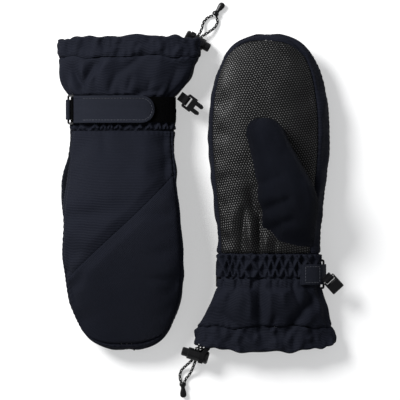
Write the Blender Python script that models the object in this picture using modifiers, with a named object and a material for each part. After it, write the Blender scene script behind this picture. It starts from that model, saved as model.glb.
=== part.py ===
"""A pair of insulated ski mittens, lying side by side on a flat surface.

The right mitten lies palm up with its fingers towards +Y. The left mitten lies palm down
with its fingers towards -Y. Both have the same layers, strap, clip half and cord lock.

Each mitten is laid out in its own frame: +Y runs from the wrist to the finger tip, +X is the
thumb side and +Z is the palm side. The origin is in the middle of the wrist at its narrowest.
"""

import math

import bmesh
import bpy
from mathutils import Matrix, Vector

MM = 0.001

# Outline of a mitten
HAND_LENGTH = 221 * MM
CUFF_LENGTH = 90 * MM
PALM_HALF_WIDTH = 61 * MM
WRIST_HALF_WIDTH = 51.5 * MM
CUFF_HALF_WIDTH = 72.5 * MM
WIDEST_Y = 120 * MM
FLARE_START = 31 * MM

# Heights above and below the middle of the layers
PALM_HEIGHT = 20 * MM
BACK_HEIGHT = 24 * MM
WRIST_PALM_HEIGHT = 16 * MM
WRIST_BACK_HEIGHT = 16.5 * MM
CUFF_HEIGHT = 15 * MM
FULL_HEIGHT_Y = 90 * MM
RING_COLUMNS = 18
SECTION_ROUNDNESS = 2.4

# Seams, as angles round the section from the thumb side through the palm
PALM_SEAM_THUMB = 39.0
PALM_SEAM_LITTLE = 156.0
BACK_SEAM_LITTLE = 204.0
BACK_SEAM_THUMB = 350.0
PALM_END_Y = HAND_LENGTH - 6.5 * MM
CASING_TOP_Y = 3 * MM
CUFF_TOP_Y = -22 * MM
CHANNEL_TOP_Y = 18 * MM - CUFF_LENGTH
DIAGONAL_LITTLE_Y = 46 * MM
DIAGONAL_THUMB_Y = 150 * MM

# Place and reach of the hump where the left hand lies over its thumb
ARCH_Y = 95 * MM
ARCH_REACH = 112 * MM

# Layers, as the depth of their outer face under the outer skin
CLEARANCE = 0.4 * MM
SEAM_GAP = 1.1 * MM
SHELL_WALL = 1.2 * MM
INSULATION_DEPTH = 2.8 * MM
INSULATION_WALL = 2.6 * MM
INSERT_DEPTH = 7.6 * MM
INSERT_WALL = 0.7 * MM
LINING_DEPTH = 9.2 * MM
LINING_CUFF_DEPTH = 2.2 * MM
LINING_WALL = 1.3 * MM
HAND_LAYERS_Y = 22 * MM

# Thumb
THUMB_ROOT_Y = -6 * MM
THUMB_TIP_Y = 138 * MM
THUMB_HALF_WIDTH = 30.5 * MM
THUMB_ROOT_HALF_WIDTH = 26 * MM
THUMB_HOLE_Y = 38 * MM
THUMB_HOLE_HALF_LENGTH = 19 * MM
THUMB_HOLE_HALF_WIDTH = 16 * MM
THUMB_STANDOFF = 2.2 * MM
THUMB_INSULATION_DEPTH = 3.6 * MM
THUMB_INSULATION_WALL = 0.8 * MM
THUMB_LINING_DEPTH = 5.6 * MM
THUMB_LINING_WALL = 0.8 * MM
THUMB_HINGE_X = 57 * MM
THUMB_HINGE_Z = 5 * MM

# Wrist strap and its ring
STRAP_Y = -18 * MM
STRAP_WIDTH = 25 * MM
TAB_WIDTH = 27 * MM
STRAP_WALL = 1.8 * MM
HOOK_WALL = 0.8 * MM
TAB_WALL = 1.4 * MM
STRAP_SEW_ANGLE = 197.0
TAB_END_ANGLE = 241.0
HOOK_ANGLES = (246.0, 266.0)
STRAP_BAR_ANGLE = 330.0
ANCHOR_BAR_ANGLE = 352.0
RING_STANDOFF = 4.4 * MM
RING_RADIUS = 1.1 * MM
RING_LENGTH = 30 * MM
ANCHOR_WIDTH = 20 * MM
ANCHOR_WALL = 1.0 * MM
ANCHOR_SEW_ANGLE = 58.0
BAND_GAP = 1.3 * MM

# Clip halves
CLIP_BAR_RADIUS = 1.1 * MM
CLIP_WIDTH = 15 * MM
CLIP_BODY_LENGTH = 8.5 * MM
CLIP_BODY_HEIGHT = 5 * MM
PRONG_LENGTH = 9 * MM
PRONG_HEIGHT = 2.6 * MM
PRONG_WIDTH = 4.2 * MM
SOCKET_LENGTH = 11 * MM
CLIP_WEBBING_WIDTH = 9.4 * MM
CLIP_WEBBING_WALL = 0.9 * MM

# Cord lock, drawcord and pull
CORD_DIAMETER = 2.8 * MM
CORD_SPACING = 3.3 * MM
CORD_GAP = 0.3 * MM
BARREL_RADIUS = 6 * MM
BARREL_LENGTH = 21 * MM
BARREL_BORE_OFFSET = 2.2 * MM
BARREL_WALL = 1.2 * MM
FLANGE_RADIUS = 6.5 * MM
FLANGE_LENGTH = 2.4 * MM
BUTTON_HEAD = 6 * MM
BUTTON_SHAFT = 13.2 * MM
BUTTON_TRAVEL = 3 * MM
RUNNING_GAP = 0.35 * MM
SPRING_WIRE = 0.35 * MM
PULL_RADIUS = 3.3 * MM
PULL_LENGTH = 14.5 * MM
CHANNEL_WALL = 1.0 * MM
CHANNEL_INNER_DEPTH = 6.6 * MM
DRAWCORD_DEPTH = 3.2 * MM
DRAWCORD_Y = 8 * MM - CUFF_LENGTH

# The two mittens: where each lies, and how its soft body sags on the surface
LAYOUT = {
    "right": {
        "origin": (68.5 * MM, -56.5 * MM, 24.0 * MM),
        "tip_roundness": 2.5,
        "finger_lean": 0.0,
        "flare_decay": 45.0 * MM,
        "cuff_shift": -9.0 * MM,
        "cuff_lean": -3.5 * MM,
        "arch": 0.0,
        "roll": 0.0,
        "thumb_height": 14.0 * MM,
        "thumb_line": (25.0 * MM, -7.0 * MM, 0.0),
    },
    "left": {
        "origin": (-76.5 * MM, 72.5 * MM, 20.0 * MM),
        "tip_roundness": 2.65,
        "finger_lean": -2.0 * MM,
        "flare_decay": 18.0 * MM,
        "cuff_shift": 1.5 * MM,
        "cuff_lean": -6.5 * MM,
        "arch": -23.0 * MM,
        "roll": 9.0 * MM,
        "thumb_height": 9.0 * MM,
        "thumb_line": (28.0 * MM, 24.0 * MM, 5.0 * MM),
    },
}

# Brings the middle of the pair's outline to the origin
PAIR_PLACE = (-0.65 * MM, -2.93 * MM, -0.1 * MM)

NAVY = (0.020, 0.024, 0.038)
NAVY_TRIM = (0.030, 0.034, 0.050)
PALM_BLACK = (0.012, 0.012, 0.013)
BLACK = (0.010, 0.010, 0.011)
FLEECE = (0.035, 0.037, 0.045)
WADDING = (0.80, 0.80, 0.78)
MEMBRANE = (0.55, 0.57, 0.60)
STEEL = (0.60, 0.60, 0.62)


# ---------------------------------------------------------------- helpers


def mix(first, second, share):
    return first + (second - first) * share


def smooth(value, start, end):
    share = min(max((value - start) / (end - start), 0.0), 1.0)
    return share * share * (3.0 - 2.0 * share)


def steps(start, end, count):
    return [mix(start, end, i / (count - 1)) for i in range(count)]


def easing_steps(start, end, count):
    """Steps that close up towards the end, for a dome."""
    shares = [i / (count - 1) for i in range(count)]
    return [mix(start, end, mix(math.sin(math.pi / 2 * share), share, 0.3)) for share in shares]


def material(name, colour, roughness, metallic=0.0):
    made = bpy.data.materials.get(name) or bpy.data.materials.new(name)
    made.use_nodes = True
    shader = made.node_tree.nodes["Principled BSDF"]
    shader.inputs["Base Color"].default_value = (*colour, 1.0)
    shader.inputs["Roughness"].default_value = roughness
    shader.inputs["Metallic"].default_value = metallic
    return made


def clear_scene():
    for thing in list(bpy.data.objects):
        bpy.data.objects.remove(thing, do_unlink=True)


def collection(name):
    made = bpy.data.collections.new(name)
    bpy.context.scene.collection.children.link(made)
    return made


class Mitten:
    """One mitten's own frame, and the shape of its layers in it."""

    def __init__(self, side, parts, cutters, pair):
        self.side = side
        self.sag = LAYOUT[side]
        self.flipped = side == "left"
        self.parts = parts
        self.cutters = cutters
        self.empty = bpy.data.objects.new(f"{side}_mitten_frame", None)
        self.empty.location = self.sag["origin"]
        self.empty.rotation_euler = (0.0, 0.0, math.pi if self.flipped else 0.0)
        self.empty.parent = pair
        self.pair = pair
        parts.objects.link(self.empty)

    def name(self, piece):
        return f"{self.side}_{piece}"

    def place(self, point):
        """The palm side is up on the right mitten and down on the left one."""
        return Vector((point[0], point[1], -point[2] if self.flipped else point[2]))

    def half_width(self, y, depth):
        tip = HAND_LENGTH - depth
        if y > WIDEST_Y:
            reach = min((y - WIDEST_Y) / (tip - WIDEST_Y), 1.0)
            power = self.sag["tip_roundness"]
            round_off = (1.0 - reach**power) ** (1.0 / power)
            return (PALM_HALF_WIDTH - depth) * round_off
        if y > -FLARE_START:
            return mix(WRIST_HALF_WIDTH, PALM_HALF_WIDTH, smooth(y, 0.0, WIDEST_Y)) - depth
        full = 1.0 - math.exp(-(CUFF_LENGTH - FLARE_START) / self.sag["flare_decay"])
        flare = (1.0 - math.exp((y + FLARE_START) / self.sag["flare_decay"])) / full
        return mix(WRIST_HALF_WIDTH, CUFF_HALF_WIDTH, flare) - depth

    def half_height(self, y, depth, wrist, hand):
        tip = HAND_LENGTH - depth
        if y > FULL_HEIGHT_Y:
            reach = min((y - FULL_HEIGHT_Y) / (tip - FULL_HEIGHT_Y), 1.0)
            return (hand - depth) * math.sqrt(1.0 - reach * reach)
        if y > 0.0:
            return mix(wrist, hand, smooth(y, 0.0, FULL_HEIGHT_Y)) - depth
        return mix(wrist, CUFF_HEIGHT, smooth(-y, FLARE_START, CUFF_LENGTH)) - depth

    def middle(self, y):
        """Sideways and upwards shift of the section at y."""
        cuff = smooth(-y, FLARE_START, 80 * MM)
        hump = max(0.0, 1.0 - ((y - ARCH_Y) / ARCH_REACH) ** 2) ** 2
        lean = self.sag["cuff_lean"] * cuff + self.sag["finger_lean"] * smooth(y, 60 * MM, 170 * MM)
        return lean, self.sag["cuff_shift"] * cuff + self.sag["arch"] * hump

    def skin(self, angle, y, depth=0.0):
        """Point at an angle round the section, at a depth under the outer skin."""
        cosine, sine = math.cos(math.radians(angle)), math.sin(math.radians(angle))
        power = 2.0 / SECTION_ROUNDNESS
        if sine >= 0.0:
            height = self.half_height(y, depth, WRIST_PALM_HEIGHT, PALM_HEIGHT)
        else:
            height = self.half_height(y, depth, WRIST_BACK_HEIGHT, BACK_HEIGHT)
        across = self.half_width(y, depth) * math.copysign(abs(cosine) ** power, cosine)
        up = height * math.copysign(abs(sine) ** power, sine)
        lean, lift = self.middle(y)
        roll = self.sag["roll"] * smooth(-y, FLARE_START, 80 * MM) * across / CUFF_HALF_WIDTH
        return Vector((across + lean, y, up + lift + roll))

    def inside(self, point, depth):
        """Whether a point is under the skin that lies at this depth."""
        lean, lift = self.middle(point.y)
        across, up = point.x - lean, point.z - lift
        width = self.half_width(point.y, depth)
        height = self.half_height(
            point.y,
            depth,
            WRIST_PALM_HEIGHT if up >= 0.0 else WRIST_BACK_HEIGHT,
            PALM_HEIGHT if up >= 0.0 else BACK_HEIGHT,
        )
        if width <= 0.0 or height <= 0.0:
            return False
        return abs(across / width) ** SECTION_ROUNDNESS + abs(up / height) ** SECTION_ROUNDNESS < 1.0

    def seam_angle(self, angle, y, offset, depth=0.0):
        """The angle that lies a distance round the section from another angle."""
        step = 0.5
        span = (self.skin(angle + step, y, depth) - self.skin(angle - step, y, depth)).length
        return angle + offset * 2.0 * step / max(span, 0.05 * MM)

    def add(self, thing, finish):
        thing.data.materials.append(finish)
        thing.parent = self.empty
        self.parts.objects.link(thing)
        return thing

    def pivot(self, name, point):
        """An empty on a joint's axis."""
        empty = bpy.data.objects.new(self.name(name), None)
        empty.parent = self.empty
        empty.location = self.place(point)
        self.parts.objects.link(empty)
        return empty

    def hang(self, thing, pivot):
        thing.parent = pivot
        thing.location = -pivot.location

    def add_to_pair(self, thing, finish):
        thing.data.materials.append(finish)
        thing.parent = self.pair
        self.parts.objects.link(thing)

    def surface(self, piece, grid, wall, finish, closed=False, pole=None, skip=None, offset=-1.0):
        """An open surface through rows of points, given its wall by Solidify."""
        shape = bmesh.new()
        rows = [[shape.verts.new(self.place(point)) for point in row] for row in grid]
        count = len(rows[0])
        span = count if closed else count - 1
        corners = []
        for j in range(len(rows) - 1):
            for i in range(span):
                if skip is None or not skip(i, j):
                    k = (i + 1) % count
                    corners.append((rows[j][i], rows[j + 1][i], rows[j + 1][k], rows[j][k]))
        if pole is not None:
            top = shape.verts.new(self.place(pole))
            corners += [(rows[-1][i], top, rows[-1][(i + 1) % count]) for i in range(span)]
        for loop in corners:
            shape.faces.new(tuple(reversed(loop)) if self.flipped else loop)
        loose = [vert for vert in shape.verts if not vert.link_faces]
        bmesh.ops.delete(shape, geom=loose, context="VERTS")
        mesh = bpy.data.meshes.new(self.name(piece))
        shape.to_mesh(mesh)
        shape.free()
        mesh.shade_smooth()
        thing = bpy.data.objects.new(self.name(piece), mesh)
        solid = thing.modifiers.new("wall", "SOLIDIFY")
        solid.thickness = wall
        solid.offset = offset
        return self.add(thing, finish)

    def axes(self, origin, x_axis, y_axis):
        """Matrix of a rigid piece whose axes are given in the mitten's frame."""
        x_dir = self.place(x_axis).normalized()
        y_dir = self.place(y_axis)
        y_dir = (y_dir - x_dir * y_dir.dot(x_dir)).normalized()
        z_dir = x_dir.cross(y_dir)
        turn = Matrix((x_dir, y_dir, z_dir)).transposed().to_4x4()
        return Matrix.Translation(self.place(origin)) @ turn

    def cut(self, thing, cutter, matrix=None):
        cutter.hide_render = True
        cutter.display_type = "WIRE"
        cutter.parent = self.empty
        if matrix is not None:
            cutter.matrix_local = matrix
        self.cutters.objects.link(cutter)
        carve = thing.modifiers.new(cutter.name, "BOOLEAN")
        carve.operation = "DIFFERENCE"
        carve.solver = "EXACT"
        carve.object = cutter


def block(name, size, centre=(0.0, 0.0, 0.0)):
    shape = bmesh.new()
    bmesh.ops.create_cube(shape, size=1.0)
    bmesh.ops.scale(shape, vec=size, verts=shape.verts)
    bmesh.ops.translate(shape, vec=centre, verts=shape.verts)
    mesh = bpy.data.meshes.new(name)
    shape.to_mesh(mesh)
    shape.free()
    return bpy.data.objects.new(name, mesh)


def oval_post(name, half_x, half_y, height, sides=24):
    shape = bmesh.new()
    bmesh.ops.create_cone(
        shape, cap_ends=True, segments=sides, radius1=1.0, radius2=1.0, depth=height
    )
    bmesh.ops.scale(shape, vec=(half_x, half_y, 1.0), verts=shape.verts)
    mesh = bpy.data.meshes.new(name)
    shape.to_mesh(mesh)
    shape.free()
    return bpy.data.objects.new(name, mesh)


def turned(name, profile, sides=16):
    """A solid turned about Z from a profile of (radius, height), top to bottom."""
    shape = bmesh.new()
    line = [shape.verts.new((radius, 0.0, height)) for radius, height in profile]
    for first, second in zip(line, line[1:]):
        shape.edges.new((first, second))
    mesh = bpy.data.meshes.new(name)
    shape.to_mesh(mesh)
    shape.free()
    mesh.shade_smooth()
    thing = bpy.data.objects.new(name, mesh)
    screw = thing.modifiers.new("turn", "SCREW")
    screw.steps = sides
    screw.render_steps = sides
    screw.use_merge_vertices = True
    screw.merge_threshold = 0.00001
    screw.use_smooth_shade = True
    return thing


def tube(name, points, radius, cyclic=False, resolution=2):
    data = bpy.data.curves.new(name, "CURVE")
    data.dimensions = "3D"
    data.bevel_depth = radius
    data.bevel_resolution = resolution
    data.use_fill_caps = not cyclic
    line = data.splines.new("POLY")
    line.points.add(len(points) - 1)
    for knot, point in zip(line.points, points):
        knot.co = (*point, 1.0)
    line.use_cyclic_u = cyclic
    return bpy.data.objects.new(name, data)


def plate(name, outlines, height):
    """A flat plate from closed outlines, the later ones being holes."""
    data = bpy.data.curves.new(name, "CURVE")
    data.dimensions = "2D"
    data.fill_mode = "BOTH"
    data.extrude = height / 2
    for outline in outlines:
        line = data.splines.new("POLY")
        line.points.add(len(outline) - 1)
        for knot, (x, y) in zip(line.points, outline):
            knot.co = (x, y, 0.0, 1.0)
        line.use_cyclic_u = True
    return bpy.data.objects.new(name, data)


def curve_to_mesh(thing):
    """A mesh object in place of a curve object, with its caps welded."""
    bpy.context.scene.collection.objects.link(thing)
    view = bpy.context.evaluated_depsgraph_get()
    mesh = bpy.data.meshes.new_from_object(thing.evaluated_get(view))
    shape = bmesh.new()
    shape.from_mesh(mesh)
    bmesh.ops.remove_doubles(shape, verts=shape.verts, dist=0.00001)
    shape.to_mesh(mesh)
    shape.free()
    name = thing.name
    bpy.data.objects.remove(thing, do_unlink=True)
    return bpy.data.objects.new(name, mesh)


def smooth_route(knots, spacing):
    """Points along a smooth curve through the knots, about one every spacing."""
    points = []
    padded = [knots[0] * 2 - knots[1], *knots, knots[-1] * 2 - knots[-2]]
    for before, start, end, after in zip(padded, padded[1:], padded[2:], padded[3:]):
        count = max(1, round((end - start).length / spacing))
        for i in range(count):
            t = i / count
            points.append(
                0.5
                * (
                    2 * start
                    + (end - before) * t
                    + (2 * before - 5 * start + 4 * end - after) * t**2
                    + (3 * start - before - 3 * end + after) * t**3
                )
            )
    return points + [knots[-1]]


# ---------------------------------------------------------------- outer shell


def shell_angles(mitten, y, edges, counts, gap):
    """Angles of a panel's columns: the ends stand half a gap inside the seams."""
    first = mitten.seam_angle(edges[0], y, gap / 2)
    last = mitten.seam_angle(edges[1], y, -gap / 2)
    return steps(first, last, counts)


def make_palm_panel(mitten, finish):
    rows = easing_steps(CASING_TOP_Y + SEAM_GAP / 2, PALM_END_Y - SEAM_GAP / 2, 12)
    edges = (PALM_SEAM_THUMB, PALM_SEAM_LITTLE)
    grid = [[mitten.skin(a, y) for a in shell_angles(mitten, y, edges, 9, SEAM_GAP)] for y in rows]
    panel = mitten.surface("palm_panel", grid, SHELL_WALL, finish)
    cut_thumb_hole(mitten, panel, 0.0)


def cut_thumb_hole(mitten, thing, depth):
    """An oval hole through the palm side of a layer, where the thumb joins the hand."""
    lift = mitten.middle(THUMB_HOLE_Y)[1]
    half_x, half_y = THUMB_HOLE_HALF_WIDTH - depth / 2, THUMB_HOLE_HALF_LENGTH - depth / 2
    cutter = oval_post(f"{thing.name}_thumb_hole", half_x, half_y, PALM_HEIGHT * 1.6)
    centre = Vector((thumb_middle(mitten, THUMB_HOLE_Y).x, THUMB_HOLE_Y, lift + PALM_HEIGHT))
    mitten.cut(thing, cutter, Matrix.Translation(mitten.place(centre)))


def make_side_gusset(mitten, finish):
    """The band runs up the thumb side, over the finger tip and down the little finger side."""
    rows = easing_steps(CASING_TOP_Y + SEAM_GAP / 2, PALM_END_Y, 12)
    rows[-1] = PALM_END_Y + SEAM_GAP / 2
    rows += [mix(PALM_END_Y, HAND_LENGTH, share) for share in (0.45, 0.8)]
    side_columns, across_columns = 4, 5

    def angles(y):
        gap = SEAM_GAP / 2
        thumb = steps(
            mitten.seam_angle(BACK_SEAM_THUMB - 360.0, y, gap),
            mitten.seam_angle(PALM_SEAM_THUMB, y, -gap),
            side_columns,
        )
        little = steps(
            mitten.seam_angle(PALM_SEAM_LITTLE, y, gap),
            mitten.seam_angle(BACK_SEAM_LITTLE, y, -gap),
            side_columns,
        )
        palm = steps(thumb[-1], little[0], across_columns)[1:-1]
        back = steps(little[-1], thumb[0] + 360.0, across_columns)[1:-1]
        return thumb + palm + little + back

    strip_rows = len(rows) - 3
    palm_start = side_columns - 1
    little_start = palm_start + across_columns - 1
    little_end = little_start + side_columns - 1

    def skip(i, j):
        across = palm_start <= i < little_start or i >= little_end
        return across and j < strip_rows

    grid = [[mitten.skin(a, y) for a in angles(y)] for y in rows]
    pole = mitten.skin(90.0, HAND_LENGTH)
    mitten.surface("side_gusset", grid, SHELL_WALL, finish, closed=True, pole=pole, skip=skip)


def diagonal_y(angle):
    share = (math.cos(math.radians(angle)) + 1.0) / 2.0
    return mix(DIAGONAL_LITTLE_Y, DIAGONAL_THUMB_Y, share)


def make_back_panels(mitten, finish):
    edges = (BACK_SEAM_LITTLE, BACK_SEAM_THUMB)
    columns = 9

    def panel(piece, start, end, shares):
        grid = []
        for share in shares:
            row = []
            for i in range(columns):
                angle = mix(edges[0], edges[1], i / (columns - 1))
                y = mix(start(angle), end(angle), share)
                row.append(mitten.skin(shell_angles(mitten, y, edges, columns, SEAM_GAP)[i], y))
            grid.append(row)
        mitten.surface(piece, grid, SHELL_WALL, finish)

    panel(
        "back_hand_panel",
        lambda angle: CUFF_TOP_Y + SEAM_GAP / 2,
        lambda angle: diagonal_y(angle) - SEAM_GAP,
        steps(0.0, 1.0, 8),
    )
    panel(
        "back_finger_panel",
        lambda angle: diagonal_y(angle),
        lambda angle: PALM_END_Y - SEAM_GAP / 2,
        easing_steps(0.0, 1.0, 10),
    )


def make_wrist_casing(mitten, finish):
    """The gathered piece on the palm side of the wrist."""
    rows = steps(CUFF_TOP_Y + SEAM_GAP / 2, CASING_TOP_Y - SEAM_GAP / 2, 4)
    edges = (BACK_SEAM_THUMB - 360.0, BACK_SEAM_LITTLE)
    grid = [[mitten.skin(a, y) for a in shell_angles(mitten, y, edges, 13, SEAM_GAP)] for y in rows]
    mitten.surface("wrist_casing", grid, SHELL_WALL, finish)


def ring_angles(count):
    return [360.0 * i / count for i in range(count)]


def cuff_rows():
    return steps(CHANNEL_TOP_Y + SEAM_GAP / 2, CUFF_TOP_Y - SEAM_GAP / 2, 6)


def make_cuff(mitten, finish):
    rows = cuff_rows()
    grid = [[mitten.skin(angle, y) for angle in ring_angles(RING_COLUMNS)] for y in rows]
    mitten.surface("gauntlet_cuff", grid, SHELL_WALL, finish, closed=True)


def make_hem_channel(mitten, finish):
    """The hem is folded inwards and holds the drawcord between its two walls."""
    inner, low = CHANNEL_INNER_DEPTH, -CUFF_LENGTH
    top = CHANNEL_TOP_Y - SEAM_GAP / 2
    profile = [
        (top, inner),
        (DRAWCORD_Y, inner),
        (low + 1.0 * MM, inner),
        (low - 0.8 * MM, mix(0.0, inner, 0.8)),
        (low - 1.5 * MM, mix(0.0, inner, 0.5)),
        (low - 0.8 * MM, mix(0.0, inner, 0.2)),
        (low + 1.0 * MM, 0.0),
        (DRAWCORD_Y, 0.0),
        (top, 0.0),
    ]
    grid = [[mitten.skin(angle, y, depth) for angle in ring_angles(RING_COLUMNS)] for y, depth in profile]
    hem = mitten.surface("hem_channel", grid, CHANNEL_WALL, finish, closed=True)
    knots = cord_knots(mitten.side, -1)
    start = to_mitten(mitten, knots[0])
    toward = to_mitten(mitten, knots[1]) - start
    across = to_mitten(mitten, cord_knots(mitten.side, 1)[0]) - start
    centre = start + across / 2
    mouth = CORD_DIAMETER + 3 * CORD_GAP
    slot = block(mitten.name("cord_eyelet"), (12 * MM, CORD_SPACING + mouth, mouth))
    mitten.cut(hem, slot, mitten.axes(centre, toward, across))


# ---------------------------------------------------------------- inner layers


def make_bag(mitten, piece, start_y, depth, wall, finish, hole_depth, columns=RING_COLUMNS, rows=11):
    """A layer that goes all round the hand and closes at the finger tip."""
    tip = HAND_LENGTH - depth(HAND_LENGTH)
    heights = easing_steps(HAND_LAYERS_Y, tip, rows)[:-1]
    if start_y < HAND_LAYERS_Y:
        heights = [start_y] + cuff_rows()[1:] + [0.0] + heights
    grid = [[mitten.skin(a, y, depth(y)) for a in ring_angles(columns)] for y in heights]
    pole = mitten.skin(90.0, tip - 0.01 * MM, depth(tip))
    pole.y = tip
    bag = mitten.surface(piece, grid, wall, finish, closed=True, pole=pole)
    cut_thumb_hole(mitten, bag, hole_depth)


def make_inner_layers(mitten):
    wadding = material("wadding", WADDING, 0.9)
    membrane = material("membrane", MEMBRANE, 0.45)
    fleece = material("fleece", FLEECE, 0.95)
    make_bag(
        mitten,
        "insulation",
        HAND_LAYERS_Y,
        lambda y: INSULATION_DEPTH,
        INSULATION_WALL,
        wadding,
        1 * MM,
    )
    make_bag(
        mitten,
        "waterproof_insert",
        HAND_LAYERS_Y,
        lambda y: INSERT_DEPTH,
        INSERT_WALL,
        membrane,
        2 * MM,
    )
    make_bag(
        mitten,
        "fleece_lining",
        CHANNEL_TOP_Y + 1.5 * MM,
        lambda y: mix(LINING_CUFF_DEPTH, LINING_DEPTH, smooth(y, -50 * MM, 20 * MM)),
        LINING_WALL,
        fleece,
        3 * MM,
    )
    rows = steps(CUFF_TOP_Y + 2 * MM, CASING_TOP_Y - 1 * MM, 3)
    grid = [[mitten.skin(a, y, SHELL_WALL + 0.5 * MM) for a in steps(25.0, 155.0, 13)] for y in rows]
    mitten.surface("wrist_elastic", grid, 0.8 * MM, material("elastic", BLACK, 0.8))


# ---------------------------------------------------------------- thumb


def thumb_middle(mitten, y):
    """Centre of the thumb's section at y."""
    bend = max(0.0, (y - 30 * MM) / (110 * MM)) ** 1.5
    height = mitten.sag["thumb_height"]
    over_palm = PALM_HEIGHT + THUMB_STANDOFF + height
    rise = mix(PALM_HEIGHT - height - 3 * MM, over_palm, smooth(y, -12 * MM, 78 * MM))
    lift = mitten.middle(y)[1]
    root, tip, out = mitten.sag["thumb_line"]
    across = mix(root, tip, bend) + out * smooth(y, 15 * MM, 60 * MM)
    return Vector((across, y, rise + lift))


def thumb_point(mitten, angle, y, depth):
    tip = THUMB_TIP_Y - depth
    taper_start = 60 * MM
    reach = min(max((y - taper_start) / (tip - taper_start), 0.0), 1.0)
    width = mix(THUMB_ROOT_HALF_WIDTH, THUMB_HALF_WIDTH, smooth(y, 10 * MM, taper_start)) - depth
    width *= (1.0 - reach**2.4) ** (1.0 / 2.4)
    height = (mitten.sag["thumb_height"] - depth) * (1.0 - reach**3) ** (1.0 / 3.0)
    cosine, sine = math.cos(math.radians(angle)), math.sin(math.radians(angle))
    power = 2.0 / 2.2
    across = width * math.copysign(abs(cosine) ** power, cosine)
    up = height * math.copysign(abs(sine) ** power, sine)
    return thumb_middle(mitten, y) + Vector((across, 0.0, up))


def over_thumb_hole(mitten, angle, point):
    """Whether a point of the thumb's palm side lies over the hole in the palm."""
    if math.sin(math.radians(angle)) > -0.1:
        return False
    across = (point.x - thumb_middle(mitten, THUMB_HOLE_Y).x) / (THUMB_HOLE_HALF_WIDTH + 2 * MM)
    along = (point.y - THUMB_HOLE_Y) / (THUMB_HOLE_HALF_LENGTH + 2 * MM)
    return across * across + along * along < 1.0


def thumb_rim(mitten, angle, depth, clear):
    """The y at which a line along the thumb comes out of the palm or of the thumb hole."""
    y = THUMB_TIP_Y - depth - 12 * MM
    while y > THUMB_ROOT_Y:
        point = thumb_point(mitten, angle, y, depth)
        if mitten.inside(point, -clear) or over_thumb_hole(mitten, angle, point):
            break
        y -= 0.5 * MM
    return y + 0.5 * MM


def make_thumb_layer(mitten, piece, depth, wall, finish, columns, rows):
    tip = THUMB_TIP_Y - depth
    angles = ring_angles(columns)
    clear = wall + CLEARANCE
    rims = [thumb_rim(mitten, angle, depth, clear) for angle in angles]
    grid = []
    for j in range(rows - 1):
        share = math.sin(math.pi / 2 * j / (rows - 1))
        grid.append(
            [
                thumb_point(mitten, angle, mix(rim, tip, share), depth)
                for angle, rim in zip(angles, rims)
            ]
        )
    pole = thumb_middle(mitten, tip)
    return mitten.surface(piece, grid, wall, finish, closed=True, pole=pole)


def make_thumb(mitten, navy):
    """The thumb folds up from the palm about a line along its outer side."""
    hinge = mitten.pivot("thumb_hinge", Vector((THUMB_HINGE_X, THUMB_HOLE_Y, THUMB_HINGE_Z)))
    wadding = bpy.data.materials["wadding"]
    fleece = bpy.data.materials["fleece"]
    layers = (
        ("thumb_shell", 0.0, SHELL_WALL, navy, 9),
        ("thumb_insulation", THUMB_INSULATION_DEPTH, THUMB_INSULATION_WALL, wadding, 8),
        ("thumb_lining", THUMB_LINING_DEPTH, THUMB_LINING_WALL, fleece, 8),
    )
    for piece, depth, wall, finish, rows in layers:
        mitten.hang(make_thumb_layer(mitten, piece, depth, wall, finish, 16, rows), hinge)


# ---------------------------------------------------------------- strap and ring


def bar_frame(mitten, angle):
    """Centre of a ring bar, and the directions outwards and round the wrist there."""
    centre = mitten.skin(angle, STRAP_Y, -RING_STANDOFF)
    along = mitten.skin(angle + 1.0, STRAP_Y, -RING_STANDOFF) - centre
    along = Vector((along.x, 0.0, along.z)).normalized()
    outward = Vector((along.z, 0.0, -along.x))
    return centre, outward, along


def turn_round_bar(mitten, bar_angle, wall, start, end, count):
    """Points round a ring bar, from start to end degrees, 0 being outwards."""
    centre, outward, along = bar_frame(mitten, bar_angle)
    reach = RING_RADIUS + CORD_GAP + wall / 2
    points = []
    for angle in steps(start, end, count):
        turn = math.radians(angle)
        points.append(centre + (outward * math.cos(turn) + along * math.sin(turn)) * reach)
    return points


def band(mitten, piece, path, width, wall, finish, round_end=0.0, rows=5):
    """A strap along a path of skin points (angle, standoff) or fixed points."""
    columns = []
    for entry in path:
        fixed = isinstance(entry, Vector)
        mid = entry if fixed else mitten.skin(entry[0], STRAP_Y, -entry[1])
        columns.append((entry, fixed, mid))
    travel = [0.0]
    for first, second in zip(columns, columns[1:]):
        travel.append(travel[-1] + (second[2] - first[2]).length)
    grid = []
    for share in steps(-1.0, 1.0, rows):
        row = []
        for (entry, fixed, mid), way in zip(columns, travel):
            half = width / 2
            if way < round_end:
                half *= math.sqrt(1.0 - (1.0 - (way + 0.5 * MM) / (round_end + 0.5 * MM)) ** 2)
            y = STRAP_Y + half * share
            if fixed:
                row.append(Vector((entry.x, y, entry.z)))
            else:
                row.append(mitten.skin(entry[0], y, -entry[1]))
        grid.append(row)
    return mitten.surface(piece, grid, wall, finish, offset=0.0)


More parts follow.
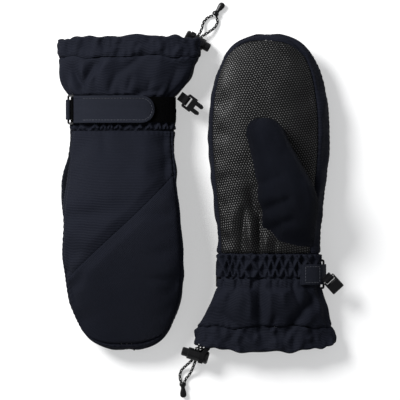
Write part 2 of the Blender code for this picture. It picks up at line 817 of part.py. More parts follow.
def make_strap(mitten, loop_pile, trim, hook):
    low = BAND_GAP + STRAP_WALL / 2
    top = BAND_GAP + STRAP_WALL + HOOK_WALL + 2 * CLEARANCE + TAB_WALL / 2
    around = turn_round_bar(mitten, STRAP_BAR_ANGLE, STRAP_WALL, 180.0, 0.0, 9)
    outward, along = bar_frame(mitten, STRAP_BAR_ANGLE)[1:]
    under = [(angle, low) for angle in steps(STRAP_SEW_ANGLE, 232.0, 5)[:-1] + steps(232.0, 322.0, 9)]
    fold_end = around[-1] - along * 1.5 * MM
    strap_path = under + around + [fold_end]
    band(mitten, "wrist_strap", strap_path, STRAP_WIDTH, STRAP_WALL, loop_pile, rows=3)
    hinge = fold_end - along * CLEARANCE
    over = [(angle, top) for angle in steps(TAB_END_ANGLE, 312.0, 11)]
    start = over.pop(0)
    first = [(start[0] + share, top) for share in (0.0, 0.6, 1.6, 3.2, 5.2)]
    over = first + [entry for entry in over if entry[0] > first[-1][0] + 2.0]
    round_end = TAB_WIDTH / 2
    pivot = mitten.pivot("strap_tab_hinge", hinge + outward * TAB_WALL / 2)
    tab = band(mitten, "strap_tab", over + [hinge], TAB_WIDTH, TAB_WALL, trim, round_end)
    mitten.hang(tab, pivot)
    middle = BAND_GAP + STRAP_WALL + CLEARANCE + HOOK_WALL / 2
    patch = [(angle, middle) for angle in steps(*HOOK_ANGLES, 4)]
    hook_patch = band(mitten, "hook_patch", patch, TAB_WIDTH - 8 * MM, HOOK_WALL, hook, rows=3)
    mitten.hang(hook_patch, pivot)


def make_ring_anchor(mitten, webbing):
    low = BAND_GAP + ANCHOR_WALL / 2
    top = low + ANCHOR_WALL + CORD_GAP
    around = turn_round_bar(mitten, ANCHOR_BAR_ANGLE, ANCHOR_WALL, -180.0, 0.0, 9)
    inner = [(angle, low) for angle in steps(ANCHOR_SEW_ANGLE, 4.0, 7)]
    along = bar_frame(mitten, ANCHOR_BAR_ANGLE)[2]
    straight = around[-1] + along * 1.5 * MM
    outer = [(angle, top) for angle in steps(16.0, ANCHOR_SEW_ANGLE - 2.0, 6)]
    path = inner + around + [straight] + outer
    band(mitten, "ring_anchor", path, ANCHOR_WIDTH, ANCHOR_WALL, webbing, rows=3)


def make_slide_ring(mitten, plastic):
    """A rectangular ring whose long bars lie along the wrist."""
    strap_bar = bar_frame(mitten, STRAP_BAR_ANGLE)[0]
    anchor_bar = bar_frame(mitten, ANCHOR_BAR_ANGLE)[0]
    across = anchor_bar - strap_bar
    half_x = across.length / 2
    half_y = RING_LENGTH / 2 - RING_RADIUS
    corner = 1.4 * MM
    points = []
    for sign_x, sign_y, start in ((1, 1, 0), (-1, 1, 90), (-1, -1, 180), (1, -1, 270)):
        for angle in steps(start, start + 90, 4):
            turn = math.radians(angle)
            points.append(
                (
                    sign_x * (half_x - corner) + corner * math.cos(turn),
                    sign_y * (half_y - corner) + corner * math.sin(turn),
                    0.0,
                )
            )
    ring = tube(mitten.name("slide_ring"), points, RING_RADIUS, cyclic=True)
    ring.matrix_local = mitten.axes((strap_bar + anchor_bar) / 2, across, (0.0, 1.0, 0.0))
    mitten.add(ring, plastic)


# ---------------------------------------------------------------- clip halves

CLIP_SEATS = {
    "right": {"bar": (60.3, -22.4, 6.1), "out": (0.66, -0.72, -0.35), "root": 5.0},
    "left": {"bar": (-62.5, -27.5, 0.0), "out": (-0.80, 0.60, 0.20), "root": 8.0},
}


def clip_axes(mitten):
    """The clip's frame: +X away from the mitten, +Y across it, the origin on its bar."""
    seat = CLIP_SEATS[mitten.side]
    out = Vector(seat["out"]).normalized()
    side = Vector((-out.y, out.x, 0.0)).normalized()
    return mitten.axes(Vector(seat["bar"]) * MM, out, side)


def make_clip_webbing(mitten, webbing):
    """Two plies from the side seam to the clip's bar, with the loop round the bar."""
    seat = CLIP_SEATS[mitten.side]
    reach = math.hypot(CLIP_BAR_RADIUS, PRONG_HEIGHT / 2) + CORD_GAP + CLIP_WEBBING_WALL / 2
    ply = CLIP_WEBBING_WALL / 2 + CORD_GAP / 2
    bend = [
        (reach * math.cos(math.radians(a)), reach * math.sin(math.radians(a)))
        for a in steps(130.0, -130.0, 9)
    ]
    root = seat["root"] * MM
    path = [(-root, ply), (-3.8 * MM, ply)] + bend + [(-3.8 * MM, -ply), (-root, -ply)]
    out = clip_axes(mitten)
    shape = bmesh.new()
    half = CLIP_WEBBING_WIDTH / 2
    rows = [[shape.verts.new((x, y, z)) for y in (-half, 0.0, half)] for x, z in path]
    for low, high in zip(rows, rows[1:]):
        for i in range(2):
            shape.faces.new((low[i], high[i], high[i + 1], low[i + 1]))
    mesh = bpy.data.meshes.new(mitten.name("clip_webbing"))
    shape.to_mesh(mesh)
    shape.free()
    mesh.shade_smooth()
    thing = bpy.data.objects.new(mitten.name("clip_webbing"), mesh)
    wall = thing.modifiers.new("wall", "SOLIDIFY")
    wall.thickness = CLIP_WEBBING_WALL
    wall.offset = 0.0
    thing.matrix_local = out
    mitten.add(thing, webbing)


def clip_slot():
    """The slot that the webbing passes through, behind the bar and before the body."""
    size = 2 * (CORD_GAP + CLIP_WEBBING_WALL) + CLIP_BAR_RADIUS
    return size, CLIP_WEBBING_WIDTH + 2 * CORD_GAP


def make_clip_plug(mitten, plastic):
    """The half with two prongs."""
    slot, opening = clip_slot()
    half = CLIP_WIDTH / 2
    bar = CLIP_BAR_RADIUS
    body_start = bar + slot
    body_end = body_start + CLIP_BODY_LENGTH - slot
    prong_end = body_end + PRONG_LENGTH
    inner = half - 1.6 * MM
    tip = 1.2 * MM
    outline = [
        (-bar, -half + tip),
        (-bar + tip, -half),
        (body_end, -half),
        (body_end, -inner),
        (prong_end - 2 * tip, -inner),
        (prong_end, -inner + tip),
        (prong_end, -inner + PRONG_WIDTH - tip),
        (prong_end - tip, -inner + PRONG_WIDTH),
        (body_end + tip, -inner + PRONG_WIDTH),
    ]
    outline += [(x, -y) for x, y in reversed(outline)]
    hole = [
        (bar, -opening / 2),
        (body_start, -opening / 2),
        (body_start, opening / 2),
        (bar, opening / 2),
    ]
    plug = curve_to_mesh(plate(mitten.name("clip_plug"), [outline, hole], PRONG_HEIGHT))
    plug.matrix_local = clip_axes(mitten)
    mitten.add(plug, plastic)


def make_clip_socket(mitten, plastic):
    """The flat half that takes the prongs."""
    slot, opening = clip_slot()
    bar = CLIP_BAR_RADIUS
    length = bar + slot + SOCKET_LENGTH
    width = CLIP_WIDTH - 1 * MM
    socket = block(
        mitten.name("clip_socket"), (length + bar, width, CLIP_BODY_HEIGHT), ((length - bar) / 2, 0, 0)
    )
    edges = socket.modifiers.new("edges", "BEVEL")
    edges.width = 0.8 * MM
    edges.segments = 1
    frame = clip_axes(mitten)
    high = CLIP_BODY_HEIGHT * 2
    webbing_slot = block(mitten.name("socket_slot"), (slot, opening, high), (bar + slot / 2, 0, 0))
    mitten.cut(socket, webbing_slot, frame)
    mouth_length = PRONG_LENGTH
    mouth = block(
        mitten.name("socket_mouth"),
        (mouth_length, width - 2.6 * MM, PRONG_HEIGHT + 2 * CORD_GAP),
        (length - mouth_length / 2 + 0.5 * MM, 0, 0),
    )
    mitten.cut(socket, mouth, frame)
    for way, side in (("under", -1), ("over", 1)):
        centre = (0.0, 0.0, side * (high / 2 + bar))
        relief = block(mitten.name(f"socket_relief_{way}"), (2 * bar, opening, high), centre)
        mitten.cut(socket, relief, frame)
    socket.matrix_local = frame
    mitten.add(socket, plastic)


# ---------------------------------------------------------------- cord lock and drawcord

# Places by each hem, in millimetres: across the pair, beyond the hem's edge, and up
LOCKS = {
    "right": {"centre": (-4.5, 9.0, 15.0), "axis": (0.961, -0.276, 0.0), "bore": (-0.24, -0.83, -0.5)},
    "left": {"centre": (-3.0, -3.0, 7.3), "axis": (-0.883, 0.469, 0.0), "bore": (0.46, 0.865, -0.15)},
}
CORD_STARTS = {
    "right": [(0.5, -1.7, 20.6), (0.0, 2.0, 20.4)],
    "left": [(-8.2, -15.0, 16.0), (-6.0, -11.5, 10.5)],
}
CORD_ENDS = {
    "right": {
        -1: [(-13.5, 20.0, 5.6), (-18.6, 25.3, 2.2), (-20.4, 31.5, 1.5), (-19.1, 37.9, 2.4)],
        1: [(-7.6, 23.5, 6.6), (-10.6, 29.5, 2.6), (-14.2, 33.9, 1.6), (-15.8, 37.9, 2.4)],
    },
    "left": {
        -1: [(9.0, 7.0, 4.6), (14.6, 11.5, 2.2), (17.6, 17.1, 1.6), (16.4, 22.5, 2.4)],
        1: [(1.5, 9.5, 4.6), (3.4, 16.5, 2.2), (7.6, 21.5, 1.6), (13.2, 23.9, 2.4)],
    },
}
PULLS = {
    "right": {"top": (-17.4, 38.4, 3.4), "out": (0.05, -1.0, 0.0)},
    "left": {"top": (15.0, 24.5, 3.4), "out": (0.60, 0.80, 0.0)},
}
TAB_HEMS = {
    "right": (7.6, 2.4, 21.5),
    "left": (-9.0, 2.4, 16.5),
}
TAB_STATION = 6.6 * MM
TAB_HALF_WIDTH = 2.4 * MM


def by_hem(side, place):
    """A point of the pair's frame from a place measured from a mitten's hem."""
    across, beyond, up = place
    outward = -1.0 if side == "right" else 1.0
    edge = LAYOUT[side]["origin"][1] + outward * CUFF_LENGTH
    return Vector((across * MM, edge + outward * beyond * MM, up * MM))


def lock_frame(side):
    lock = LOCKS[side]
    centre = by_hem(side, lock["centre"])
    axis = Vector(lock["axis"]).normalized()
    bore = Vector(lock["bore"])
    bore = (bore - axis * bore.dot(axis)).normalized()
    return centre, axis, bore


def cord_knots(side, strand):
    """Knots of one free end, from inside the hem channel to the pull."""
    centre, axis, bore = lock_frame(side)
    offset = axis * strand * CORD_SPACING / 2
    start = [by_hem(side, point) + offset for point in CORD_STARTS[side]]
    through = [centre + offset + bore * reach * MM for reach in (-6.5, 0.0, 6.5)]
    end = [by_hem(side, point) for point in CORD_ENDS[side][strand]]
    return start + through + end


def to_mitten(mitten, point):
    """A point of the pair's frame in the mitten's own frame."""
    moved = point - Vector(mitten.sag["origin"])
    return -moved if mitten.flipped else moved


def make_cord_lock(mitten, plastic, steel):
    centre, axis, bore = lock_frame(mitten.side)
    origin = to_mitten(mitten, centre)
    direction = axis if not mitten.flipped else -axis
    across = bore if not mitten.flipped else -bore

    def lock_axes():
        return mitten.axes(origin, across, direction) @ Matrix.Rotation(math.radians(-90), 4, "X")

    bottom = BARREL_LENGTH / 2 + BARREL_BORE_OFFSET
    mouth_end = BARREL_LENGTH - bottom
    inner = BARREL_RADIUS - BARREL_WALL
    floor = bottom - 2.2 * MM
    barrel = turned(
        mitten.name("cord_lock_barrel"),
        [
            (0.0, bottom + 0.6 * MM),
            (FLANGE_RADIUS - 1.4 * MM, bottom + 0.6 * MM),
            (FLANGE_RADIUS, bottom - 0.4 * MM),
            (FLANGE_RADIUS, bottom - FLANGE_LENGTH),
            (BARREL_RADIUS, bottom - FLANGE_LENGTH - 0.5 * MM),
            (BARREL_RADIUS, -mouth_end + 0.6 * MM),
            (BARREL_RADIUS - 0.5 * MM, -mouth_end),
            (inner, -mouth_end),
            (inner, floor),
            (0.0, floor),
        ],
    )
    slot = CORD_SPACING + CORD_DIAMETER + 2 * CORD_GAP
    mouth = CORD_DIAMETER + 2 * CORD_GAP
    frame = lock_axes()
    bore_cutter = block(mitten.name("barrel_bore"), (4 * BARREL_RADIUS, mouth, slot))
    mitten.cut(barrel, bore_cutter, frame)
    barrel.matrix_local = frame
    mitten.add(barrel, plastic)

    shaft = inner - RUNNING_GAP
    shaft_end = -mouth_end + BUTTON_SHAFT
    head = -mouth_end - BUTTON_HEAD
    button = turned(
        mitten.name("cord_lock_button"),
        [
            (0.0, shaft_end),
            (shaft - 0.4 * MM, shaft_end),
            (shaft, shaft_end - 0.4 * MM),
            (shaft, head + 1.0 * MM),
            (shaft - 0.8 * MM, head),
            (shaft - 1.8 * MM, head),
            (shaft - 2.1 * MM, head + 0.5 * MM),
            (shaft - 2.5 * MM, head + 0.5 * MM),
            (shaft - 2.8 * MM, head),
            (0.0, head),
        ],
    )
    long_slot = slot + BUTTON_TRAVEL
    button_cutter = block(
        mitten.name("button_bore"), (4 * BARREL_RADIUS, mouth, long_slot), (0, 0, -BUTTON_TRAVEL / 2)
    )
    mitten.cut(button, button_cutter, frame)
    button.matrix_local = frame
    mitten.add(button, plastic)

    turns, per_turn = 3, 8
    radius = inner - 1.2 * MM
    low = shaft_end + SPRING_WIRE + CORD_GAP
    high = floor - SPRING_WIRE - CORD_GAP
    points = []
    for i in range(turns * per_turn + 1):
        turn = 2.0 * math.pi * i / per_turn
        height = mix(low, high, i / (turns * per_turn))
        points.append((radius * math.cos(turn), radius * math.sin(turn), height))
    spring = tube(mitten.name("cord_lock_spring"), points, SPRING_WIRE, resolution=1)
    spring.matrix_local = frame
    mitten.add(spring, steel)


def make_cord_tab(mitten, fabric):
    """A fabric loop from the hem round the barrel, near its closed end."""
    centre, axis, bore = lock_frame(mitten.side)
    up = axis.cross(bore)
    if up.z < 0.0:
        up = -up
    middle = centre + axis * TAB_STATION
    wall = 0.8 * MM
    reach = BARREL_RADIUS + CORD_GAP + wall / 2
    hem = by_hem(mitten.side, TAB_HEMS[mitten.side])
    toward = hem - middle
    start = math.atan2(toward.dot(up), toward.dot(-bore))
    turns = [start + math.radians(a) for a in steps(32.0, 328.0, 14)]
    loop = [middle + (-bore * math.cos(t) + up * math.sin(t)) * reach for t in turns]
    lift = (loop[0] - loop[-1]).normalized() * (wall / 2 + CORD_GAP / 2)
    path = [hem + lift] + loop + [hem - lift]
    half = TAB_HALF_WIDTH
    shape = bmesh.new()
    rows = [[shape.verts.new(point + axis * half * s) for s in (-1, 1)] for point in path]
    for low, high in zip(rows, rows[1:]):
        shape.faces.new((low[0], high[0], high[1], low[1]))
    mesh = bpy.data.meshes.new(mitten.name("cord_tab"))
    shape.to_mesh(mesh)
    shape.free()
    mesh.shade_smooth()
    thing = bpy.data.objects.new(mitten.name("cord_tab"), mesh)
    solid = thing.modifiers.new("wall", "SOLIDIFY")
    solid.thickness = wall
    solid.offset = 0.0
    mitten.add_to_pair(thing, fabric)


def make_cords(mitten, cord, plastic):
    angles = {"right": (161.0, 149.0), "left": (157.0, 141.0)}[mitten.side]
    start, end = angles[0], angles[1] + 360.0
    spread = [360.0 * i / RING_COLUMNS for i in range(2 * RING_COLUMNS)]
    sweep = [start] + [angle for angle in spread if start + 4.0 < angle < end - 4.0] + [end]
    ring = [mitten.place(mitten.skin(angle, DRAWCORD_Y, DRAWCORD_DEPTH)) for angle in sweep]
    thing = tube(mitten.name("drawcord"), ring, CORD_DIAMETER / 2, resolution=1)
    mitten.add(thing, cord)
    for strand, letter in ((-1, "a"), (1, "b")):
        points = smooth_route(cord_knots(mitten.side, strand), 2.0 * CORD_DIAMETER)
        piece = tube(mitten.name(f"cord_end_{letter}"), points, CORD_DIAMETER / 2)
        mitten.add_to_pair(piece, cord)
    seat = PULLS[mitten.side]
    pull = turned(
        mitten.name("cord_pull"),
        [
            (0.0, PULL_LENGTH),
            (PULL_RADIUS * 0.45, PULL_LENGTH),
            (PULL_RADIUS * 0.75, PULL_LENGTH - 1.0 * MM),
            (PULL_RADIUS * 0.9, PULL_LENGTH * 0.7),
            (PULL_RADIUS, PULL_LENGTH * 0.3),
            (PULL_RADIUS, 0.8 * MM),
            (PULL_RADIUS - 0.8 * MM, 0.0),
            (0.0, 0.0),
        ],
        sides=16,
    )
    out = Vector(seat["out"]).normalized()
    turn = Vector((0.0, 0.0, 1.0)).rotation_difference(out).to_matrix().to_4x4()
    pull.matrix_local = Matrix.Translation(by_hem(mitten.side, seat["top"])) @ turn
    mitten.add_to_pair(pull, plastic)


# ---------------------------------------------------------------- assembly


def make_mitten(side, parts, cutters, pair):
    mitten = Mitten(side, parts, cutters, pair)
    navy = material("navy_shell", NAVY, 0.7)
    palm = material("palm_leather", PALM_BLACK, 0.45)
    trim = material("navy_trim", NAVY_TRIM, 0.75)
    webbing = material("black_webbing", BLACK, 0.8)
    loop_pile = material("loop_pile", BLACK, 0.95)
    plastic = material("black_plastic", BLACK, 0.35)
    cord = material("elastic_cord", BLACK, 0.8)
    steel = material("spring_steel", STEEL, 0.3, 1.0)
    make_palm_panel(mitten, palm)
    make_side_gusset(mitten, navy)
    make_back_panels(mitten, navy)
    make_wrist_casing(mitten, navy)
    make_cuff(mitten, navy)
    make_hem_channel(mitten, navy)
    make_inner_layers(mitten)
    make_thumb(mitten, navy)
    make_strap(mitten, loop_pile, trim, webbing)
    make_ring_anchor(mitten, webbing)
    make_slide_ring(mitten, plastic)
    make_clip_webbing(mitten, webbing)
    if side == "left":
        make_clip_plug(mitten, plastic)
    else:
        make_clip_socket(mitten, plastic)
    make_cord_lock(mitten, plastic, steel)
    make_cord_tab(mitten, webbing)
    make_cords(mitten, cord, plastic)


def main():
    clear_scene()
    parts = collection("ski_mittens")
    cutters = collection("cutters")
    pair = bpy.data.objects.new("pair_frame", None)
    pair.location = PAIR_PLACE
    parts.objects.link(pair)
    for side in ("left", "right"):
        make_mitten(side, parts, cutters, pair)


main()
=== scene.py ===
import math

import bmesh
import bpy
import numpy as np
from bpy.props import FloatProperty, FloatVectorProperty, PointerProperty
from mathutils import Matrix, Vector


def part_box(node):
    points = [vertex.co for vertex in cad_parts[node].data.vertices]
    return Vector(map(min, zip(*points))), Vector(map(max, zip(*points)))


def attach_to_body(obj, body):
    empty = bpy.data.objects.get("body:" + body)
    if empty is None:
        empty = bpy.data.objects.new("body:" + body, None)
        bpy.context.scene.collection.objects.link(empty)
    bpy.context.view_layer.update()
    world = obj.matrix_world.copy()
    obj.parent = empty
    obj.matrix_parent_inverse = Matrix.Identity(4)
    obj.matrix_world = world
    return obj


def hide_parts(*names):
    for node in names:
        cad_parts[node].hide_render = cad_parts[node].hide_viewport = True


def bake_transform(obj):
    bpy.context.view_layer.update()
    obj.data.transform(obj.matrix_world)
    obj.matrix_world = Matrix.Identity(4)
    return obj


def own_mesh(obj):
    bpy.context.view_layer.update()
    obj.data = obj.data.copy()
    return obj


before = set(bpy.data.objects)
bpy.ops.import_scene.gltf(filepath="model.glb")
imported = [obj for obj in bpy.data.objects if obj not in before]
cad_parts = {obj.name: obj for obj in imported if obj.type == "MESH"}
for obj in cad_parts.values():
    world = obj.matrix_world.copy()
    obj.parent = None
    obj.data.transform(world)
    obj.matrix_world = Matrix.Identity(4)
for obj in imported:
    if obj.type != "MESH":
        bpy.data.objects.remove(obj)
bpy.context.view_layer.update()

bl_info = {
    "name": "Ski mittens",
    "version": (1, 0, 0),
    "blender": (4, 5, 0),
    "location": "3D View > Sidebar > Ski mittens",
    "description": "The sewn shells, straps, clips and drawcords of a pair of ski mittens",
    "category": "Object",
}

MM = 0.001
# Millimetres round the hand for each degree of the section's angle
GIRTH_STEP = 0.78

# ---- the mittens' pattern, in millimetres

HAND_LENGTH = 221.0
CUFF_LENGTH = 90.0
PALM_HALF_WIDTH = 61.0
WRIST_HALF_WIDTH = 51.5
CUFF_HALF_WIDTH = 72.5
WIDEST_Y = 120.0
FLARE_START = 31.0
FLARE_END = 80.0
PALM_HEIGHT = 20.0
BACK_HEIGHT = 24.0
WRIST_PALM_HEIGHT = 16.0
WRIST_BACK_HEIGHT = 16.5
CUFF_HEIGHT = 15.0
FULL_HEIGHT_Y = 90.0
SECTION_ROUNDNESS = 2.4
PALM_SEAM_THUMB = 39.0
PALM_SEAM_LITTLE = 156.0
BACK_SEAM_LITTLE = 204.0
BACK_SEAM_THUMB = 350.0
SEAM_ANGLES = (BACK_SEAM_THUMB, PALM_SEAM_THUMB, PALM_SEAM_LITTLE, BACK_SEAM_LITTLE)
FAR_AWAY = 90.0
# Share of the swelling that stays at a seam
SEAM_GIVE = 0.15
CASING_TOP_Y = 3.0
CUFF_TOP_Y = -22.0
STRAP_Y = -18.0
# How far cloth may rise under the strap, how much further away from it, and where that starts
STRAP_ROOM, FREE_ROOM, STRAP_EDGE = 0.3, 8.0, (13.0, 21.0)
FLOOR_GIVE = 0.7
CHANNEL_TOP_Y = -72.0
ARCH_Y = 95.0
ARCH_REACH = 112.0
LAYOUT = {
    "right": {
        "origin": (67.85, -59.43, 23.9),
        "tip_roundness": 2.5,
        "finger_lean": 0.0,
        "flare_decay": 45.0,
        "cuff_shift": -9.0,
        "cuff_lean": -3.5,
        "arch": 0.0,
        "roll": 0.0,
        "thumb_height": 14.0,
        "thumb_line": (20.5, -6.5, 0.0),
        "thumb_halves": (24.0, 29.0, 20.5),
        "thumb_round_y": 112.0,
    },
    "left": {
        "origin": (-77.15, 69.57, 19.9),
        "tip_roundness": 2.65,
        "finger_lean": -2.0,
        "flare_decay": 18.0,
        "cuff_shift": 1.5,
        "cuff_lean": -6.5,
        "arch": -23.0,
        "roll": 9.0,
        "thumb_height": 9.0,
        "thumb_line": (28.0, 24.0, 5.0),
        "thumb_halves": (26.0, 30.5, 30.5),
        "thumb_round_y": 60.0,
    },
}
SIDES = ("left", "right")
CREASE_SHARPNESS = 1.6
# Height and size of the cloth's uneven lumps, and the slant along which those of the cuff and hem run
HAND_LUMPS = ((0.6, 23.0), (0.2, 9.0))
CUFF_LUMPS = ((1.15, 15.0), (0.7, 6.0))
CUFF_GRAIN = ((0.9, 0.4, 0.0), (-0.25, 0.45, 0.0), (0.0, 0.0, 0.6))
HEM_GRAIN = ((1.0, 0.5, 0.0), (-0.35, 0.6, 0.0), (0.0, 0.0, 0.8))

# Creases and ridges on the side that lies up: both ends, width and height
FOLDS = {
    "left": (
        (51.0, -60.0, 40.5, -41.5, 5.0, -7.0),
        (29.5, -63.0, 40.5, -40.5, 4.6, -6.6),
        (40.0, -61.0, 40.5, -48.0, 4.2, 4.0),
        (39.5, -39.5, 13.5, -66.5, 5.0, 4.2),
        (22.5, -68.0, 27.5, -47.5, 4.2, -5.0),
        (4.0, -55.0, -18.0, -72.0, 5.0, -3.0),
        (14.0, -36.0, 8.0, -52.0, 4.0, -3.0),
        (-44.0, -36.0, -52.0, -56.0, 4.6, -3.4),
        (58.0, -40.0, 56.0, -58.0, 4.0, -3.0),
        (-4.0, -37.0, -8.0, -50.0, 3.4, -2.4),
        (-24.0, -36.0, -26.0, -46.0, 3.2, -2.2),
        (-13.5, -34.5, -34.5, -37.5, 3.6, -3.2),
        (-28.0, -45.0, -58.0, -62.0, 8.0, -2.0),
        (-30.0, 149.5, -50.0, 151.0, 4.0, -1.1),
        (-28.0, 157.0, -52.0, 159.0, 6.0, 0.8),
        (-6.5, 134.5, -23.5, 152.5, 3.0, -0.9),
        (62.5, 142.5, 53.0, 145.0, 4.0, -2.8),
        (54.5, 157.5, 47.5, 174.5, 3.0, -1.6),
        (-22.5, 2.5, -20.5, 62.5, 12.0, 1.6),
        (20.0, 4.0, 18.0, 26.0, 5.0, -1.2),
        (-40.0, 5.0, -43.0, 60.0, 6.0, -1.8),
    ),
    "right": (
        (-8.5, -19.5, -8.5, -74.5, 5.4, -6.6),
        (-17.5, -21.5, -18.0, -60.0, 4.0, 2.6),
        (2.0, -20.0, 1.5, -66.0, 4.4, 2.4),
        (45.5, -41.5, 25.5, -65.5, 5.6, -6.4),
        (52.0, -52.0, 34.0, -72.0, 5.0, 1.8),
        (25.5, -65.5, 20.0, -76.5, 4.0, -4.0),
        (21.5, -23.5, 30.5, -49.5, 3.8, -3.2),
        (12.0, -22.0, 15.0, -46.0, 3.6, 1.8),
        (5.5, -60.5, 1.5, -73.5, 3.2, -3.2),
        (-25.5, -19.5, -23.5, -36.5, 3.0, -2.8),
        (-36.0, -20.5, -40.0, -44.0, 3.4, -2.0),
        (-44.0, -58.0, -30.0, -70.0, 3.4, -1.8),
        (-17.0, 64.0, -13.0, 38.0, 7.0, -4.6),
        (-38.0, 6.0, -35.0, 44.0, 6.0, 2.4),
        (-27.0, 5.0, -24.0, 46.0, 3.8, -3.4),
        (-17.0, 5.0, -18.5, 32.0, 3.6, 2.8),
        (-9.0, 46.0, -8.5, 6.0, 3.4, -4.2),
        (-1.5, 6.0, -3.0, 20.0, 3.0, 2.4),
        (6.0, 4.0, 6.5, 16.0, 2.4, -1.8),
    ),
}


# ---- settings


class MittenSizes(bpy.types.PropertyGroup):
    """Sizes of the sewn detail."""

    seam_depth: FloatProperty(
        name="Seam depth", description="How far a seam sinks into the cloth",
        default=0.0013, unit="LENGTH",
    )
    pucker: FloatProperty(
        name="Pucker", description="Height of the small waves beside a seam",
        default=0.00035, unit="LENGTH",
    )
    gather_height: FloatProperty(
        name="Gather height", description="Height of the gathers at the wrist elastic",
        default=0.0050, unit="LENGTH",
    )
    pleat_height: FloatProperty(
        name="Pleat height", description="Height of the pleats that run into the cuff",
        default=0.0032, unit="LENGTH",
    )
    hem_scallop: FloatProperty(
        name="Hem scallop", description="How far the gathered hem's edge waves",
        default=0.0019, unit="LENGTH",
    )
    loft: FloatProperty(
        name="Loft", description="Pressure of the padding against the shell",
        default=4.0, min=0.0,
    )
    spare_cloth: FloatProperty(
        name="Spare cloth", description="Share by which the shell is cut larger than its padding",
        default=0.05, subtype="FACTOR",
    )
    swell_limit: FloatProperty(
        name="Swell limit", description="Furthest that the padding moves a point of the shell",
        default=0.0032, unit="LENGTH",
    )
    shell_wall: FloatProperty(
        name="Shell wall", description="Thickness of the shell cloth", default=0.0012, unit="LENGTH",
    )
    stitch_length: FloatProperty(
        name="Stitch length", description="Length of one stitch", default=0.0023, unit="LENGTH",
    )
    stitch_pitch: FloatProperty(
        name="Stitch pitch", description="Distance from one stitch to the next",
        default=0.0031, unit="LENGTH",
    )
    rib_pitch: FloatProperty(
        name="Rib pitch", description="Distance between two ribs of the shell cloth",
        default=0.0016, unit="LENGTH",
    )
    dot_pitch: FloatProperty(
        name="Dot pitch", description="Distance between two dots of the palm",
        default=0.0027, unit="LENGTH",
    )
    cord_diameter: FloatProperty(
        name="Cord diameter", description="Thickness of the elastic drawcord",
        default=0.0028, unit="LENGTH",
    )


class MittenColours(bpy.types.PropertyGroup):
    """Colours of the finishes."""

    navy: FloatVectorProperty(
        name="Navy shell", description="Colour of the ribbed shell cloth",
        default=(0.0068, 0.0078, 0.0128), subtype="COLOR", size=3,
    )
    # Painted shade: the thumbs' navy is the shell's navy painted darker for the lesser light on them;
    # their smoother weave is their own.
    thumb: FloatVectorProperty(
        name="Navy thumb with painted shade", description="Colour of the smoother cloth of the thumbs",
        default=(0.0042, 0.0050, 0.0086), subtype="COLOR", size=3,
    )
    trim: FloatVectorProperty(
        name="Navy trim", description="Colour of the strap tab",
        default=(0.0122, 0.0138, 0.0205), subtype="COLOR", size=3,
    )
    palm: FloatVectorProperty(
        name="Palm", description="Colour of the coated palm", default=(0.0045, 0.0045, 0.0046),
        subtype="COLOR", size=3,
    )
    black: FloatVectorProperty(
        name="Black", description="Colour of the moulded parts and webbing",
        default=(0.0024, 0.0024, 0.0028), subtype="COLOR", size=3,
    )
    fleck: FloatVectorProperty(
        name="Cord fleck", description="Colour of the pale yarns in the cord",
        default=(0.55, 0.55, 0.54), subtype="COLOR", size=3,
    )
    floor: FloatVectorProperty(
        name="Floor", description="Colour of the floor", default=(0.60, 0.60, 0.60),
        subtype="COLOR", size=3,
    )


# ---- shared shapes


def mix(first, second, share):
    """A value that goes from first to second as share goes from 0 to 1."""
    return first + (second - first) * share


def smooth(value, start, end):
    """A smooth step from 0 at start to 1 at end."""
    share = np.clip((value - start) / (end - start), 0.0, 1.0)
    return share * share * (3.0 - 2.0 * share)


def shares(count, start=0.0, end=1.0):
    """Evenly spread numbers from start to end, both included."""
    return start + (end - start) * np.arange(count) / (count - 1)


def signed_power(value, power):
    """The power of a number's size, with the number's own sign."""
    return np.sign(value) * np.abs(value) ** power


def degrees_apart(angle, other):
    """The shorter way round between two angles."""
    return np.abs((angle - other + 180.0) % 360.0 - 180.0)


# Degrees up to which cloth and rods are shaded smooth
CLOTH_CREASE, ROD_CREASE = 50.0, 60.0
NOISE_STEPS = (374761393, 668265263, 2246822519)
NOISE_MIX = 1274126177


def cloth_noise(points, scale, seed):
    """Smooth noise between -1 and 1 at points in millimetres, the same every time."""
    spot = points / scale + 11.7 * seed
    cell = np.floor(spot).astype(np.int64)
    part = spot - cell
    part = part * part * (3.0 - 2.0 * part)
    total = 0.0
    for corner in range(8):
        step = np.array([corner & 1, corner >> 1 & 1, corner >> 2 & 1])
        at = cell + step
        code = sum(at[..., k] * NOISE_STEPS[k] for k in range(3))
        code = (code ^ (code >> 13)) * NOISE_MIX & 0xFFFFFFFF
        value = ((code ^ (code >> 16)) & 0xFFFF) / 32767.5 - 1.0
        weight = np.where(step, part, 1.0 - part).prod(-1)
        total = total + value * weight
    return total


def grid_normals(grid):
    """Outward normals of a grid whose rows run up the mitten and columns round it."""
    normal = np.cross(np.gradient(grid, axis=0), np.gradient(grid, axis=1))
    length = np.linalg.norm(normal, axis=-1, keepdims=True)
    return normal / np.maximum(length, 1e-9)


def run_lengths(grid, axis):
    """Distance along each line of a grid, or along one line of points, from its start."""
    step = np.linalg.norm(np.diff(grid, axis=axis), axis=-1)
    start = np.zeros_like(np.take(step, [0], axis=axis))
    return np.concatenate([start, np.cumsum(step, axis=axis)], axis=axis)


def surface_map(grid, from_middle=False):
    """How far each point of a grid lies round the piece, from its edge or middle, and up it."""
    u = run_lengths(grid, 1)
    middle = grid.shape[1] // 2
    if from_middle:
        u = u - u[:, middle : middle + 1]
    return np.stack([u, run_lengths(grid, 0)], -1)


def close_ring(grid):
    """Joins a grid's last column to its first."""
    grid[:, -1] = grid[:, 0]


def close_tip(grid):
    """Draws a grid's last row together in one point, and closes its ring."""
    grid[-1] = grid[-1].mean(0)
    close_ring(grid)


